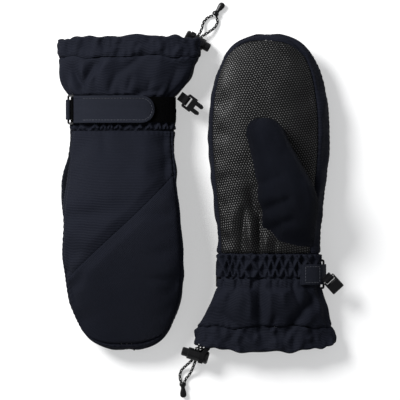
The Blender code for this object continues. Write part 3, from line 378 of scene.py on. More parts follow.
def creases(folds, points, ends_fade=True):
    """Height of creases and ridges over points in the mitten's own axes."""
    total = np.zeros(points.shape[:-1])
    for x0, y0, x1, y1, width, height in folds:
        run, rise = x1 - x0, y1 - y0
        across, up = points[..., 0] - x0, points[..., 1] - y0
        along = np.clip((across * run + up * rise) / (run**2 + rise**2), 0.0, 1.0)
        apart = np.hypot(across - along * run, up - along * rise)
        fade = 0.45 + 0.55 * np.sin(math.pi * (0.08 + 0.84 * along)) if ends_fade else 1.0
        total += height * fade * np.exp(-((apart / width) ** CREASE_SHARPNESS))
    return total


class Form:
    """One mitten's outer skin, in millimetres: +X thumb side, +Y finger tip, +Z palm."""

    def __init__(self, side):
        self.side = side
        self.sag = LAYOUT[side]
        self.turn = 1.0 if side == "right" else -1.0
        self.origin = np.array(self.sag["origin"])
        self.settled = None

    def half_width(self, y, depth):
        tip = HAND_LENGTH - depth
        reach = np.clip((y - WIDEST_Y) / (tip - WIDEST_Y), 0.0, 1.0)
        power = self.sag["tip_roundness"]
        fingers = (PALM_HALF_WIDTH - depth) * (1.0 - reach**power) ** (1.0 / power)
        waist = mix(WRIST_HALF_WIDTH, PALM_HALF_WIDTH, smooth(y, 0.0, WIDEST_Y)) - depth
        decay = self.sag["flare_decay"]
        full = 1.0 - math.exp(-(CUFF_LENGTH - FLARE_START) / decay)
        flare = (1.0 - np.exp(np.minimum(y + FLARE_START, 0.0) / decay)) / full
        cuff = mix(WRIST_HALF_WIDTH, CUFF_HALF_WIDTH, flare) - depth
        return np.where(y > WIDEST_Y, fingers, np.where(y > -FLARE_START, waist, cuff))

    def half_height(self, y, depth, wrist, hand):
        tip = HAND_LENGTH - depth
        reach = np.clip((y - FULL_HEIGHT_Y) / (tip - FULL_HEIGHT_Y), 0.0, 1.0)
        fingers = (hand - depth) * np.sqrt(1.0 - reach * reach)
        palm = mix(wrist, hand, smooth(y, 0.0, FULL_HEIGHT_Y)) - depth
        cuff = mix(wrist, CUFF_HEIGHT, smooth(-y, FLARE_START, CUFF_LENGTH)) - depth
        return np.where(y > FULL_HEIGHT_Y, fingers, np.where(y > 0.0, palm, cuff))

    def reach_up(self, y, depth, side):
        """Height of the palm where side is positive, and of the back elsewhere."""
        palm = self.half_height(y, depth, WRIST_PALM_HEIGHT, PALM_HEIGHT)
        back = self.half_height(y, depth, WRIST_BACK_HEIGHT, BACK_HEIGHT)
        return np.where(side >= 0.0, palm, back)

    def middle(self, y):
        """How far the section's centre lies to the thumb's side and above the origin."""
        cuff = smooth(-y, FLARE_START, FLARE_END)
        hump = np.maximum(0.0, 1.0 - ((y - ARCH_Y) / ARCH_REACH) ** 2) ** 2
        lean = self.sag["cuff_lean"] * cuff + self.sag["finger_lean"] * smooth(y, 60.0, 170.0)
        return lean, self.sag["cuff_shift"] * cuff + self.sag["arch"] * hump

    def skin(self, angle, y, depth=0.0):
        """Points at angles round the section, at a depth under the outer skin."""
        angle, y, depth = np.broadcast_arrays(
            np.asarray(angle, float), np.asarray(y, float), np.asarray(depth, float)
        )
        cosine, sine = np.cos(np.radians(angle)), np.sin(np.radians(angle))
        power = 2.0 / SECTION_ROUNDNESS
        across = self.half_width(y, depth) * signed_power(cosine, power)
        up = self.reach_up(y, depth, sine) * signed_power(sine, power)
        lean, lift = self.middle(y)
        roll = self.sag["roll"] * smooth(-y, FLARE_START, FLARE_END) * across / CUFF_HALF_WIDTH
        return np.stack([across + lean, y, up + lift + roll], -1)

    def world(self, points):
        """Metres in the scene from millimetres in the mitten's own axes."""
        return (self.origin + self.turn * np.asarray(points)) * MM

    def local(self, points):
        """Millimetres in the mitten's own axes from metres in the scene."""
        return (np.asarray(points) / MM - self.origin) * self.turn

    def settle(self, angle, y):
        """How far the swollen and creased cloth stands from the skin, read from its grid."""
        if self.settled is None:
            return np.zeros(np.broadcast(angle, y).shape + (3,))
        rows, moved = self.settled
        angle, y = np.broadcast_arrays(np.asarray(angle, float), np.asarray(y, float))
        u = (angle % 360.0) / 360.0 * moved.shape[1]
        v = np.interp(y, rows, np.arange(len(rows)))
        column, row = np.floor(u).astype(int), np.floor(v).astype(int)
        total = np.zeros(angle.shape + (3,))
        for j, across in enumerate(spline_weights(v - row)):
            for i, along in enumerate(spline_weights(u - column)):
                at_row = np.clip(row + j - 1, 0, len(rows) - 1)
                at_column = (column + i - 1) % moved.shape[1]
                total += moved[at_row, at_column] * (across * along)[..., None]
        on_palm = np.where(np.sin(np.radians(angle)) < 0, 0.0, FAR_AWAY)
        apart = np.minimum(FAR_AWAY, np.abs(y - diagonal_y(angle)) * 0.7 + on_palm)
        for seam in SEAM_ANGLES:
            apart = np.minimum(apart, degrees_apart(angle, seam) * GIRTH_STEP)
        held = SEAM_GIVE + (1.0 - SEAM_GIVE) * smooth(apart, 0.5, 11.0)
        return total * held[..., None]

    def outward(self, angle, y):
        """Unit normals of the smooth skin."""
        near_tip = np.minimum(y, HAND_LENGTH - 1.0)
        up = self.skin(angle, near_tip + 0.5) - self.skin(angle, near_tip - 0.5)
        round_it = self.skin(angle + 0.5, near_tip) - self.skin(angle - 0.5, near_tip)
        normal = np.cross(up, round_it)
        return normal / np.maximum(np.linalg.norm(normal, axis=-1, keepdims=True), 1e-9)

    def cloth(self, angle, y, depth=0.0):
        """The settled and creased cloth at a depth under the outer skin."""
        angle, y = np.broadcast_arrays(np.asarray(angle, float), np.asarray(y, float))
        outer = self.skin(angle, y)
        normal = self.outward(angle, y)
        lying_up = smooth(normal[..., 2] * self.turn, 0.05, 0.6)
        height = creases(FOLDS[self.side], outer) * lying_up
        calm = smooth(np.abs(y - (CASING_TOP_Y + CUFF_TOP_Y) / 2), 12.0, 26.0)
        calm = calm * (1.0 - 0.7 * smooth(y, 195.0, HAND_LENGTH))
        seed = 1 if self.side == "left" else 4
        cuff, hem = smooth(-y, 24.0, 40.0), smooth(-y, 55.0, 68.0)
        for number, (tall, size) in enumerate(HAND_LUMPS):
            height += calm * tall * cloth_noise(outer, size, seed + number)
        leaning = outer @ np.array(CUFF_GRAIN)
        for number, (share, (tall, size)) in enumerate(zip((cuff, hem), CUFF_LUMPS), 2):
            height += share * tall * cloth_noise(leaning, size, seed + number)
        spot = self.skin(angle, y, depth) + self.settle(angle, y) + normal * height[..., None]
        return self.pressed(spot, angle, y, depth)

    def pressed(self, spot, angle, y, depth=0.0):
        """Cloth kept flat under the wrist strap and on the floor."""
        normal = self.outward(angle, y)
        rise = ((spot - self.skin(angle, y, depth)) * normal).sum(-1)
        room = STRAP_ROOM + FREE_ROOM * smooth(np.abs(y - STRAP_Y), *STRAP_EDGE)
        spot = spot - normal * np.maximum(rise - room, 0.0)[..., None]
        above = self.origin[2] + self.turn * spot[..., 2] - depth
        lifted = FLOOR_GIVE * np.logaddexp(0.0, above / FLOOR_GIVE) + depth
        up = (lifted - self.origin[2]) * self.turn
        return np.stack([spot[..., 0], spot[..., 1], up], -1)


def spline_weights(t):
    """Weights of four neighbours for a smooth curve through the middle two."""
    return (
        0.5 * (-t + 2 * t**2 - t**3),
        0.5 * (2 - 5 * t**2 + 3 * t**3),
        0.5 * (t + 4 * t**2 - 3 * t**3),
        0.5 * (-(t**2) + t**3),
    )


def grid_faces(rows, columns, first=0):
    """Quads between the points of a grid, numbered row by row."""
    index = first + np.arange(rows * columns).reshape(rows, columns)
    quads = np.stack([index[:-1, :-1], index[1:, :-1], index[1:, 1:], index[:-1, 1:]], -1)
    return quads.reshape(-1, 4)


def build_mesh(name, points, faces, uv=None):
    """A mesh from points in metres, and from a UV in millimetres for each point."""
    mesh = bpy.data.meshes.new(name)
    mesh.from_pydata(points.tolist(), [], faces)
    if uv is not None:
        corner = np.empty(len(mesh.loops), dtype=np.int64)
        mesh.loops.foreach_get("vertex_index", corner)
        layer = mesh.uv_layers.new(name="UVMap")
        layer.data.foreach_set("uv", (uv[corner] * MM).ravel())
    return mesh


def clean_mesh(mesh, weld, sheet):
    """Welds a mesh; a closed one, not a sheet, also has its faces turned outwards."""
    shape = bmesh.new()
    shape.from_mesh(mesh)
    loose = [vert for vert in shape.verts if not vert.link_faces]
    bmesh.ops.delete(shape, geom=loose, context="VERTS")
    if weld:
        bmesh.ops.remove_doubles(shape, verts=shape.verts, dist=weld)
    if sheet:
        bmesh.ops.dissolve_degenerate(shape, edges=shape.edges, dist=1e-7)
    else:
        bmesh.ops.recalc_face_normals(shape, faces=shape.faces)
    shape.to_mesh(mesh)
    shape.free()


class Patchwork:
    """Grids of cloth welded where they meet, with a UV map in metres."""

    def __init__(self, form):
        self.form = form
        self.points, self.uvs, self.faces = [], [], []
        self.total = 0

    def add(self, grid, uv, keep=None, flip=False):
        rows, columns = grid.shape[:2]
        quads = grid_faces(rows, columns, self.total)
        if keep is not None:
            quads = quads[keep.reshape(-1)]
        if (self.form.turn < 0.0) != flip:
            quads = quads[:, ::-1]
        self.points.append(grid.reshape(-1, 3))
        self.uvs.append(uv.reshape(-1, 2))
        self.faces.append(quads)
        self.total += rows * columns
        return self

    def make(self, name, wall, finish, offset=-1.0, weld=0.02):
        """A closed piece, its wall under the grids; lengths in millimetres."""
        faces = np.concatenate(self.faces).tolist()
        spots = self.form.world(np.concatenate(self.points))
        mesh = build_mesh(name, spots, faces, np.concatenate(self.uvs))
        clean_mesh(mesh, weld * MM, True)
        thing = show(name, mesh, finish)
        solid = thing.modifiers.new("Wall", "SOLIDIFY")
        solid.thickness = wall * MM
        solid.offset = offset
        choose(thing)
        bpy.ops.object.modifier_apply(modifier=solid.name)
        shade_smooth(thing, CLOTH_CREASE)
        return thing


def show(name, mesh, finish):
    """An object at the origin for a mesh, in the scene and with its finish."""
    thing = bpy.data.objects.new(name, mesh)
    bpy.context.scene.collection.objects.link(thing)
    mesh.materials.clear()
    mesh.materials.append(finish)
    return thing


def choose(thing):
    """Selects one object alone."""
    bpy.ops.object.select_all(action="DESELECT")
    thing.select_set(True)
    bpy.context.view_layer.objects.active = thing


def shade_smooth(thing, crease):
    """Shades an object smooth wherever its faces turn by less than crease degrees."""
    choose(thing)
    bpy.ops.object.shade_smooth_by_angle(angle=math.radians(crease))


# ---- seams and panels

SEAM_WIDTH = 1.1
PUFF_AWAY = 4.2
PUFF_SPREAD = 3.0
PUFF_HEIGHT = 0.35
PUCKER_PITCH, PUCKER_REACH = 5.2, 4.5
# Share of a seam's relief that a faint seam has
FAINT = 0.4


def seam_relief(sizes, apart, along):
    """Height of cloth beside a seam, from the distance to it and along it."""
    groove = -sizes.seam_depth / MM * np.exp(-((apart / SEAM_WIDTH) ** 2))
    puff = PUFF_HEIGHT * np.exp(-(((apart - PUFF_AWAY) / PUFF_SPREAD) ** 2))
    wave = np.sin(2.0 * math.pi * (along / PUCKER_PITCH + 0.35 * np.sin(along / 11.0)))
    fade = np.exp(-((apart / PUCKER_REACH) ** 2))
    pucker = sizes.pucker / MM * wave * fade * smooth(apart, 0.2, 1.6)
    return groove + puff + pucker


def press_seams(sizes, grid, edges, faint=""):
    """A grid with its chosen edges (L, R, B, T) sewn down, and its UV."""
    u, v = run_lengths(grid, 1), run_lengths(grid, 0)
    spans = {
        "L": (u, v),
        "R": (u[:, -1:] - u, v),
        "B": (v, u),
        "T": (v[-1:] - v, u),
    }
    height = np.zeros(grid.shape[:2])
    for edge in edges:
        height += seam_relief(sizes, *spans[edge]) * (FAINT if edge in faint else 1.0)
    return grid + grid_normals(grid) * height[..., None], surface_map(grid, True)


PALM_TOP_Y = 214.5
TOP_DROP = 14.0
THUMB_HOLE_Y = 38.0
THUMB_HOLE_HALF_WIDTH = 16.0
THUMB_HOLE_HALF_LENGTH = 19.0
# Points nearer to the hole's rim than this share of its size are moved on to it
RIM_SNAP = 0.055
PALM_ROWS, PALM_COLUMNS = 136, 84
GUSSET_ROWS, TIP_ROWS = 126, 30
BACK_COLUMNS = 92


def top_edge(share):
    """Where a front or back panel ends under the finger tip's gusset."""
    return PALM_TOP_Y - TOP_DROP * np.abs(2.0 * share - 1.0) ** 3


def hole_keep(form, grid, less=0.0):
    """Snaps a grid to the rim of the thumb's hole, and says which faces stay outside it."""
    centre = thumb_middle(form, np.array(THUMB_HOLE_Y))[0]
    across = (grid[..., 0] - centre) / (THUMB_HOLE_HALF_WIDTH - less)
    along = (grid[..., 1] - THUMB_HOLE_Y) / (THUMB_HOLE_HALF_LENGTH - less)
    reach = np.hypot(across, along)
    on_palm = grid[..., 2] > np.asarray(form.middle(grid[..., 1])[1])
    near = on_palm & (np.abs(reach - 1.0) < RIM_SNAP)
    scale = np.where(near, 1.0 / np.maximum(reach, 1e-6), 1.0)
    grid[..., 0] = centre + (grid[..., 0] - centre) * scale
    grid[..., 1] = THUMB_HOLE_Y + (grid[..., 1] - THUMB_HOLE_Y) * scale
    inside = on_palm & (reach < 1.0)
    hits = inside[:-1, :-1] & inside[1:, :-1] & inside[1:, 1:] & inside[:-1, 1:]
    return ~hits


def make_palm(form, sizes, finish):
    share = shares(PALM_COLUMNS)[None, :]
    angle = PALM_SEAM_THUMB + (PALM_SEAM_LITTLE - PALM_SEAM_THUMB) * share
    y = CASING_TOP_Y + (top_edge(share) - CASING_TOP_Y) * shares(PALM_ROWS)[:, None]
    angle, y = np.broadcast_arrays(angle, y)
    grid, uv = press_seams(sizes, form.cloth(angle, y), "LRBT")
    work = Patchwork(form).add(grid, uv, hole_keep(form, grid))
    return work.make(f"{form.side}_palm_panel_cloth", sizes.shell_wall / MM, finish)


GUSSET_WELD = 0.6


def make_gusset(form, sizes, finish):
    """Two strips along the sides that join over the finger tip."""
    work = Patchwork(form)
    strip_top = PALM_TOP_Y - TOP_DROP
    rows = shares(GUSSET_ROWS)[:, None]
    columns = []
    limits = (
        (BACK_SEAM_THUMB - 360.0, PALM_SEAM_THUMB, 30),
        (PALM_SEAM_THUMB, PALM_SEAM_LITTLE, 60),
        (PALM_SEAM_LITTLE, BACK_SEAM_LITTLE, 30),
        (BACK_SEAM_LITTLE, BACK_SEAM_THUMB, 66),
    )
    for number, (start, end, count) in enumerate(limits):
        share = shares(count)
        angle = start + (end - start) * share
        low = np.full(count, strip_top) if number % 2 == 0 else top_edge(share)
        columns.append((angle, low))
        if number % 2 == 0:
            y = CASING_TOP_Y + (strip_top - CASING_TOP_Y) * rows
            grid = form.cloth(*np.broadcast_arrays(angle[None, :], y))
            grid, uv = press_seams(sizes, grid, "LRB")
            work.add(grid, uv)
    angle = np.concatenate([part[0][:-1] for part in columns] + [[BACK_SEAM_THUMB]])
    low = np.concatenate([part[1][:-1] for part in columns] + [[strip_top]])
    rise = 1.0 - (1.0 - shares(TIP_ROWS)[:, None]) ** 2
    y = low[None, :] + (HAND_LENGTH - low[None, :]) * rise
    grid = form.cloth(np.broadcast_to(angle[None, :], y.shape), y)
    close_tip(grid)
    u, v = run_lengths(grid, 1), run_lengths(grid, 0)
    corners = np.cumsum([0] + [count - 1 for _, _, count in limits])
    on_panel = np.zeros(grid.shape[1], bool)
    for start, end in (corners[1:3], corners[3:5]):
        on_panel[start : end + 1] = True
    side_reach = np.minimum.reduce([np.abs(u - u[:, i : i + 1]) for i in corners])
    apart = np.where(on_panel[None, :], v, np.hypot(side_reach, v))
    sewn = seam_relief(sizes, apart, u) * (1.0 - smooth(v, 7.0, 12.0))
    sewn[0, :] = np.where(on_panel, sewn[0, :], seam_relief(sizes, side_reach[0], u[0]))
    grid = grid + grid_normals(grid) * sewn[..., None]
    close_ring(grid)
    grid[-1] = grid[-1].mean(0)
    work.add(grid, np.stack([u, v], -1))
    return work.make(
        f"{form.side}_side_gusset_cloth", sizes.shell_wall / MM, finish, weld=GUSSET_WELD
    )


DIAGONAL_Y, DIAGONAL_RISE = 98.0, 55.0


def diagonal_y(angle):
    """Where the seam across the back runs."""
    return DIAGONAL_Y + DIAGONAL_RISE * signed_power(np.cos(np.radians(angle)), 0.833)


def make_back(form, sizes, finish):
    """Two panels that meet in a slanting seam."""
    share = shares(BACK_COLUMNS)[None, :]
    angle = BACK_SEAM_LITTLE + (BACK_SEAM_THUMB - BACK_SEAM_LITTLE) * share
    seam, top = diagonal_y(angle), top_edge(share)
    made = []
    for piece, low, high, rows, slanting in (
        ("hand", np.full_like(seam, CASING_TOP_Y), seam, 66, "T"),
        ("finger", seam, top, 76, "B"),
    ):
        y = low + (high - low) * shares(rows)[:, None]
        grid = form.cloth(*np.broadcast_arrays(angle, y))
        grid, uv = press_seams(sizes, grid, "LRBT", slanting)
        work = Patchwork(form).add(grid, uv)
        made.append(work.make(f"{form.side}_back_{piece}_cloth", sizes.shell_wall / MM, finish))
    return made


# ---- wrist and cuff

ALLOWANCE, ALLOWANCE_DEPTH = 6.0, 2.5
RING_COUNT, CUFF_COUNT = 281, 240
GATHER_PITCH = 9.2
GATHER_ROWS = 2.6


def ring(form, count):
    """Angles evenly spread along the wrist's girth, first and last the same place."""
    fine = shares(1441) * 360.0
    spots = form.skin(fine, np.full(fine.shape, -10.0))
    way = run_lengths(spots, 0)
    return np.interp(shares(count) * way[-1], way, fine), way[-1]


def make_casing(form, sizes, finish):
    """The elasticated wrist: gathers in three rows that lean to and fro."""
    angle, girth = ring(form, RING_COUNT)
    rows = 30
    y = (CUFF_TOP_Y + (CASING_TOP_Y - CUFF_TOP_Y) * shares(rows))[:, None]
    angle, y = np.broadcast_arrays(angle[None, :], y)
    grid = form.cloth(angle, y)
    way = shares(RING_COUNT)[None, :] * girth
    share = shares(rows)[:, None]
    count = round(girth / GATHER_PITCH)
    turn = 2.0 * math.pi * way / girth
    wobble = 1.3 * np.sin(5.0 * turn) + 0.8 * np.sin(7.0 * turn + 1.0)
    phase = count * turn + wobble
    slant = math.pi * GATHER_ROWS * (share + 0.05 * np.sin(4.0 * turn))
    leaning_left = (0.5 + 0.5 * np.cos(phase + slant)) ** 1.5
    leaning_right = (0.5 + 0.5 * np.cos(phase - slant)) ** 1.5
    crest = np.maximum(leaning_left, leaning_right)
    uneven = 0.78 + 0.22 * np.sin(9.0 * turn + 2.0)
    height = sizes.gather_height / MM * uneven * (crest - 0.6)
    ends = smooth(share, 0.0, 0.08) * smooth(1.0 - share, 0.0, 0.08)
    grid = grid + form.outward(angle, y) * (height * ends)[..., None]
    grid = press_seams(sizes, grid, "BT")[0]
    under = CASING_TOP_Y + ALLOWANCE * np.array([[0.1], [0.5], [1.0]])
    grid = np.concatenate([grid, form.cloth(angle[:1], under, ALLOWANCE_DEPTH)])
    close_ring(grid)
    work = Patchwork(form).add(grid, surface_map(grid, True))
    return work.make(f"{form.side}_wrist_casing_cloth", sizes.shell_wall / MM, finish)


def channel_y(form, angle):
    """The wavy seam above the hem's channel."""
    turn = np.radians(angle) + (0.0 if form.side == "left" else 1.3)
    return CHANNEL_TOP_Y + 1.1 * np.sin(5.0 * turn + 1.0) + 0.8 * np.sin(11.0 * turn) + 1.0


def hem_y(form, angle, sizes):
    """The gathered edge of the hem, drawn in at the sides."""
    turn = np.radians(angle) + (0.0 if form.side == "left" else 0.7)
    wave = np.sin(9.0 * turn + 1.2 * np.sin(3.0 * turn)) + 0.6 * np.sin(21.0 * turn + 1.0)
    corner = np.abs(np.cos(np.radians(angle))) ** 3
    belly = np.maximum(np.sin(np.radians(angle)) * form.turn, 0.0) ** 2
    droop = 4.2 * belly if form.side == "right" else 0.8 * belly
    return -CUFF_LENGTH + 3.2 * corner - droop + 0.5 * sizes.hem_scallop / MM * wave


def make_gauntlet(form, sizes, finish):
    """The flared cuff, with pleats that fade away from the wrist."""
    angle = ring(form, CUFF_COUNT)[0]
    rows = 44
    low = channel_y(form, angle)[None, :]
    y = low + (CUFF_TOP_Y - low) * shares(rows)[:, None]
    angle, y = np.broadcast_arrays(angle[None, :], y)
    grid = form.cloth(angle, y)
    way = shares(CUFF_COUNT)[None, :] * 2.0 * math.pi
    from_wrist = CUFF_TOP_Y - y
    strong = 0.65 + 0.35 * np.sin(3.0 * way + 1.0) + 0.25 * np.sin(7.0 * way)
    fine = 0.7 * np.cos(27.0 * way + 1.3 * np.sin(5.0 * way)) * np.exp(-from_wrist / 6.0)
    pleat = np.cos(15.0 * way + 1.6 * np.sin(2.0 * way)) * np.exp(-from_wrist / 15.0)
    pleat = pleat * strong + fine
    ridges = 0.35 * np.sin(9.0 * way + 2.0 * np.sin(way)) * smooth(from_wrist, 4.0, 22.0)
    gathered = 0.4 * np.cos(33.0 * way + 3.0 * np.sin(5.0 * way)) * smooth(from_wrist, 42.0, 50.0)
    height = sizes.pleat_height / MM * pleat + ridges + gathered
    ends = smooth(from_wrist, 0.0, 2.5)
    grid = grid + form.outward(angle, y) * (height * ends)[..., None]
    grid = form.pressed(grid, angle, y)
    grid, uv = press_seams(sizes, grid, "BT")
    close_ring(grid)
    work = Patchwork(form).add(grid, uv)
    return work.make(f"{form.side}_gauntlet_cuff_cloth", sizes.shell_wall / MM, finish)


CHANNEL_DEPTH = 6.6
CHANNEL_WALL = 1.0


def make_hem(form, sizes, finish):
    """The hem turned in over its drawcord, its edge scalloped by the gathers."""
    angle, girth = ring(form, CUFF_COUNT)
    top, low = CHANNEL_TOP_Y, -CUFF_LENGTH
    profile = [(y, 0.0) for y in np.linspace(top, low + 1.5, 15)]
    half = CHANNEL_DEPTH / 2.0
    for turn in np.radians(np.linspace(12.0, 168.0, 9)):
        profile.append((low + 1.0 - 2.4 * math.sin(turn), half - half * math.cos(turn)))
    profile += [(y, CHANNEL_DEPTH) for y in np.linspace(low + 1.5, top, 9)]
    way = shares(CUFF_COUNT)[None, :] * 2.0 * math.pi
    depth = np.array([entry[1] for entry in profile])[:, None]
    base_y = np.array([entry[0] for entry in profile])[:, None]
    reach = (top - base_y) / (top - low)
    seam_y, edge_y = channel_y(form, angle)[None, :], hem_y(form, angle, sizes)[None, :]
    y = seam_y + (edge_y - seam_y) * reach
    angle, y, depth = np.broadcast_arrays(angle[None, :], y, depth)
    grid = form.cloth(angle, y, depth)
    bunch = np.cos(23.0 * way + 3.0 * np.sin(4.0 * way))
    bunch = bunch + 0.6 * np.sin(37.0 * way + np.sin(3.0 * way))
    across = 1.0 - 2.0 * depth / CHANNEL_DEPTH
    height = 0.3 * bunch * (0.55 + 0.45 * np.sin(math.pi * np.clip(reach, 0.0, 1.0)))
    slanted = grid @ np.array(HEM_GRAIN)
    height = height + 2.6 * cloth_noise(slanted, 6.5, 9) + 0.9 * cloth_noise(grid, 3.6, 10)
    height = np.maximum(height, -1.1)
    grid = grid + form.outward(angle, y) * (height * np.maximum(across, 0.15))[..., None]
    grid = form.pressed(grid, angle, y, depth)
    seam = 0.7 * seam_relief(sizes, np.minimum(reach * 18.0, 60.0), way * girth / (2.0 * math.pi))
    grid = grid + form.outward(angle, y) * np.where(depth < 0.1, seam, 0.0)[..., None]
    close_ring(grid)
    work = Patchwork(form).add(grid, surface_map(grid), flip=True)
    return work.make(f"{form.side}_hem_channel_cloth", CHANNEL_WALL, finish)


# ---- layers inside

LAYERS_Y = 8.0
# Name, lowest y, depths under the skin in the cuff and in the hand, wall, finish,
# and how much smaller than the shell's the thumb's hole is on each side
LAYERS = (
    ("insulation", LAYERS_Y, (2.8, 2.8), 2.6, "wadding", 0.5),
    ("waterproof_insert", LAYERS_Y, (7.6, 7.6), 0.7, "membrane", 1.0),
    ("fleece_lining", CHANNEL_TOP_Y + 1.5, (5.2, 9.2), 1.3, "fleece", 1.5),
)
ELASTIC_DEPTH, ELASTIC_WALL = 4.2, 0.8


def make_layer(form, piece, start_y, depths, wall, finish, hole_less):
    """A bag inside the shell, deeper in the hand than in the cuff, with the thumb's hole."""
    in_cuff, in_hand = depths
    angle = shares(97) * 360.0
    rise = np.concatenate([shares(50) * 0.86, 0.86 + 0.14 * shares(16)[1:]])
    share = np.where(rise < 0.86, rise, 0.86 + 0.14 * (1.0 - (1.0 - (rise - 0.86) / 0.14) ** 2))
    tip = HAND_LENGTH - in_hand
    y = (start_y + (tip - start_y) * share)[:, None]
    angle, y = np.broadcast_arrays(angle[None, :], y)
    grid = form.cloth(angle, y, in_cuff + (in_hand - in_cuff) * smooth(y, -50.0, 20.0))
    close_tip(grid)
    keep = hole_keep(form, grid, hole_less)
    work = Patchwork(form).add(grid, surface_map(grid), keep)
    return work.make(f"{form.side}_{piece}_cloth", wall, finish)


def make_layers(form, finishes):
    """The three bags and the elastic of the wrist, each with its name and its finish's."""
    made = []
    for piece, start_y, depths, wall, finish, hole_less in LAYERS:
        thing = make_layer(form, piece, start_y, depths, wall, finishes[finish], hole_less)
        made.append((piece, finish, thing))
    angle, y = np.broadcast_arrays(
        (25.0 + 130.0 * shares(61))[None, :], (-20.0 + 22.0 * shares(12))[:, None]
    )
    grid = form.cloth(angle, y, ELASTIC_DEPTH)
    work = Patchwork(form).add(grid, surface_map(grid))
    elastic = work.make(f"{form.side}_wrist_elastic_cloth", ELASTIC_WALL, finishes["elastic"])
    return [*made, ("wrist_elastic", "elastic", elastic)]


# ---- thumb

THUMB_ROOT_Y = -6.0
THUMB_TIP_Y = 138.0
THUMB_TAPER_Y = 60.0
THUMB_STANDOFF = 2.2
THUMB_ROUNDNESS = 2.2
# The thumb's root stays sewn up to the first y, and its tip turns whole after the second
THUMB_BEND = (57.0, 106.0)
THUMB_LAYERS = (
    ("thumb_shell", 0.0, 1.2, "thumb"),
    ("thumb_insulation", 3.6, 0.8, "wadding"),
    ("thumb_lining", 5.6, 0.8, "fleece"),
)


def thumb_middle(form, y):
    """Across and up to the centre of the thumb's section at y."""
    bend = smooth(y, 45.0, 145.0)
    height = form.sag["thumb_height"]
    low, high = PALM_HEIGHT - height - 3.0, PALM_HEIGHT + THUMB_STANDOFF + height
    rise = mix(low, high, smooth(y, -12.0, 78.0))
    root, tip, out = form.sag["thumb_line"]
    return mix(root, tip, bend) + out * smooth(y, 15.0, 60.0), rise + form.middle(y)[1]


def thumb_point(form, angle, y, depth):
    """Points at angles round the thumb's section, at a depth under its skin."""
    angle, y = np.broadcast_arrays(np.asarray(angle, float), np.asarray(y, float))
    tip, round_y = THUMB_TIP_Y - depth, form.sag["thumb_round_y"]
    root, full, end = form.sag["thumb_halves"]
    width = mix(mix(root, full, smooth(y, 10.0, 60.0)), end, smooth(y, 55.0, 120.0)) - depth
    rounding = np.clip((y - round_y) / (tip - round_y), 0.0, 1.0)
    width = width * (1.0 - rounding**2.5) ** (1.0 / 2.5)
    reach = np.clip((y - THUMB_TAPER_Y) / (tip - THUMB_TAPER_Y), 0.0, 1.0)
    height = (form.sag["thumb_height"] - depth) * (1.0 - reach**3) ** (1.0 / 3.0)
    cosine, sine = np.cos(np.radians(angle)), np.sin(np.radians(angle))
    power = 2.0 / THUMB_ROUNDNESS
    x, z = thumb_middle(form, y)
    across = width * signed_power(cosine, power)
    up = height * signed_power(sine, power)
    return np.stack([x + across, y, z + up], -1)


def is_inside(form, point, depth):
    """Whether points lie inside the hand's skin, less a depth."""
    lean, lift = form.middle(point[..., 1])
    across, up = point[..., 0] - lean, point[..., 2] - lift
    width = form.half_width(point[..., 1], depth)
    height = form.reach_up(point[..., 1], depth, up)
    power = SECTION_ROUNDNESS
    return np.abs(across / width) ** power + np.abs(up / height) ** power < 1.0


def thumb_rims(form, angle, depth, clear):
    """Where lines along the thumb come out of the palm or of its hole."""
    y = np.arange(THUMB_ROOT_Y, THUMB_TIP_Y - depth - 12.0, 0.25)[:, None]
    point = thumb_point(form, angle[None, :], y, depth)
    centre = thumb_middle(form, np.array(THUMB_HOLE_Y))[0]
    across = (point[..., 0] - centre) / (THUMB_HOLE_HALF_WIDTH + 2.0)
    along = (point[..., 1] - THUMB_HOLE_Y) / (THUMB_HOLE_HALF_LENGTH + 2.0)
    over = (np.sin(np.radians(angle))[None, :] <= -0.1) & (across**2 + along**2 < 1.0)
    hidden = is_inside(form, point, -clear) | over
    last = hidden.shape[0] - 1 - np.argmax(hidden[::-1], axis=0)
    return np.where(hidden.any(0), y[last, 0] + 0.25, THUMB_ROOT_Y)


# Angles of the thumb's two side seams, and millimetres round the thumb for each degree
THUMB_SEAMS, THUMB_STEP = (8.0, 187.0), 0.42
THUMB_FOLDS = {
    "right": (
        (-12.0, 72.0, 10.0, 80.0, 5.0, -1.8),
        (-10.0, 58.0, 12.0, 60.0, 6.0, 1.2),
        (-6.0, 46.0, 18.0, 57.0, 4.0, -2.2),
        (2.0, 37.0, 18.0, 42.0, 5.0, 0.9),
        (6.0, 29.0, 20.0, 36.0, 4.0, -1.6),
        (4.0, 118.0, 14.0, 104.0, 5.0, -1.0),
        (30.0, 76.0, 36.0, 50.0, 6.0, -1.2),
    ),
    "left": ((56.0, 30.0, 60.0, 60.0, 3.0, -0.8),),
}


def sew_root(form, grid, y, depth):
    """Brings the thumb's root down to the palm, behind the line where it is sewn on."""
    across = np.abs((grid[..., 0] - form.middle(y)[0]) / form.half_width(y, 0.0))
    dome = np.clip(1.0 - across**SECTION_ROUNDNESS, 0.0, 1.0) ** (1.0 / SECTION_ROUNDNESS)
    height = form.half_height(y, 0.0, WRIST_PALM_HEIGHT, PALM_HEIGHT) * dome
    palm = form.middle(y)[1] + height - 1.6 * depth
    sewn_y = 9.0 + 12.0 * (1.0 - smooth(grid[..., 0], -2.0, 13.0))
    above = np.maximum(grid[..., 2] - palm, 0.0)
    sunk = np.where(above > 0.0, 1.2 * (1.0 - smooth(y, sewn_y - 2.0, sewn_y + 1.5)), 0.0)
    grid[..., 2] -= above * (1.0 - smooth(y, sewn_y - 1.0, sewn_y + 22.0) ** 0.6) + sunk
    return grid


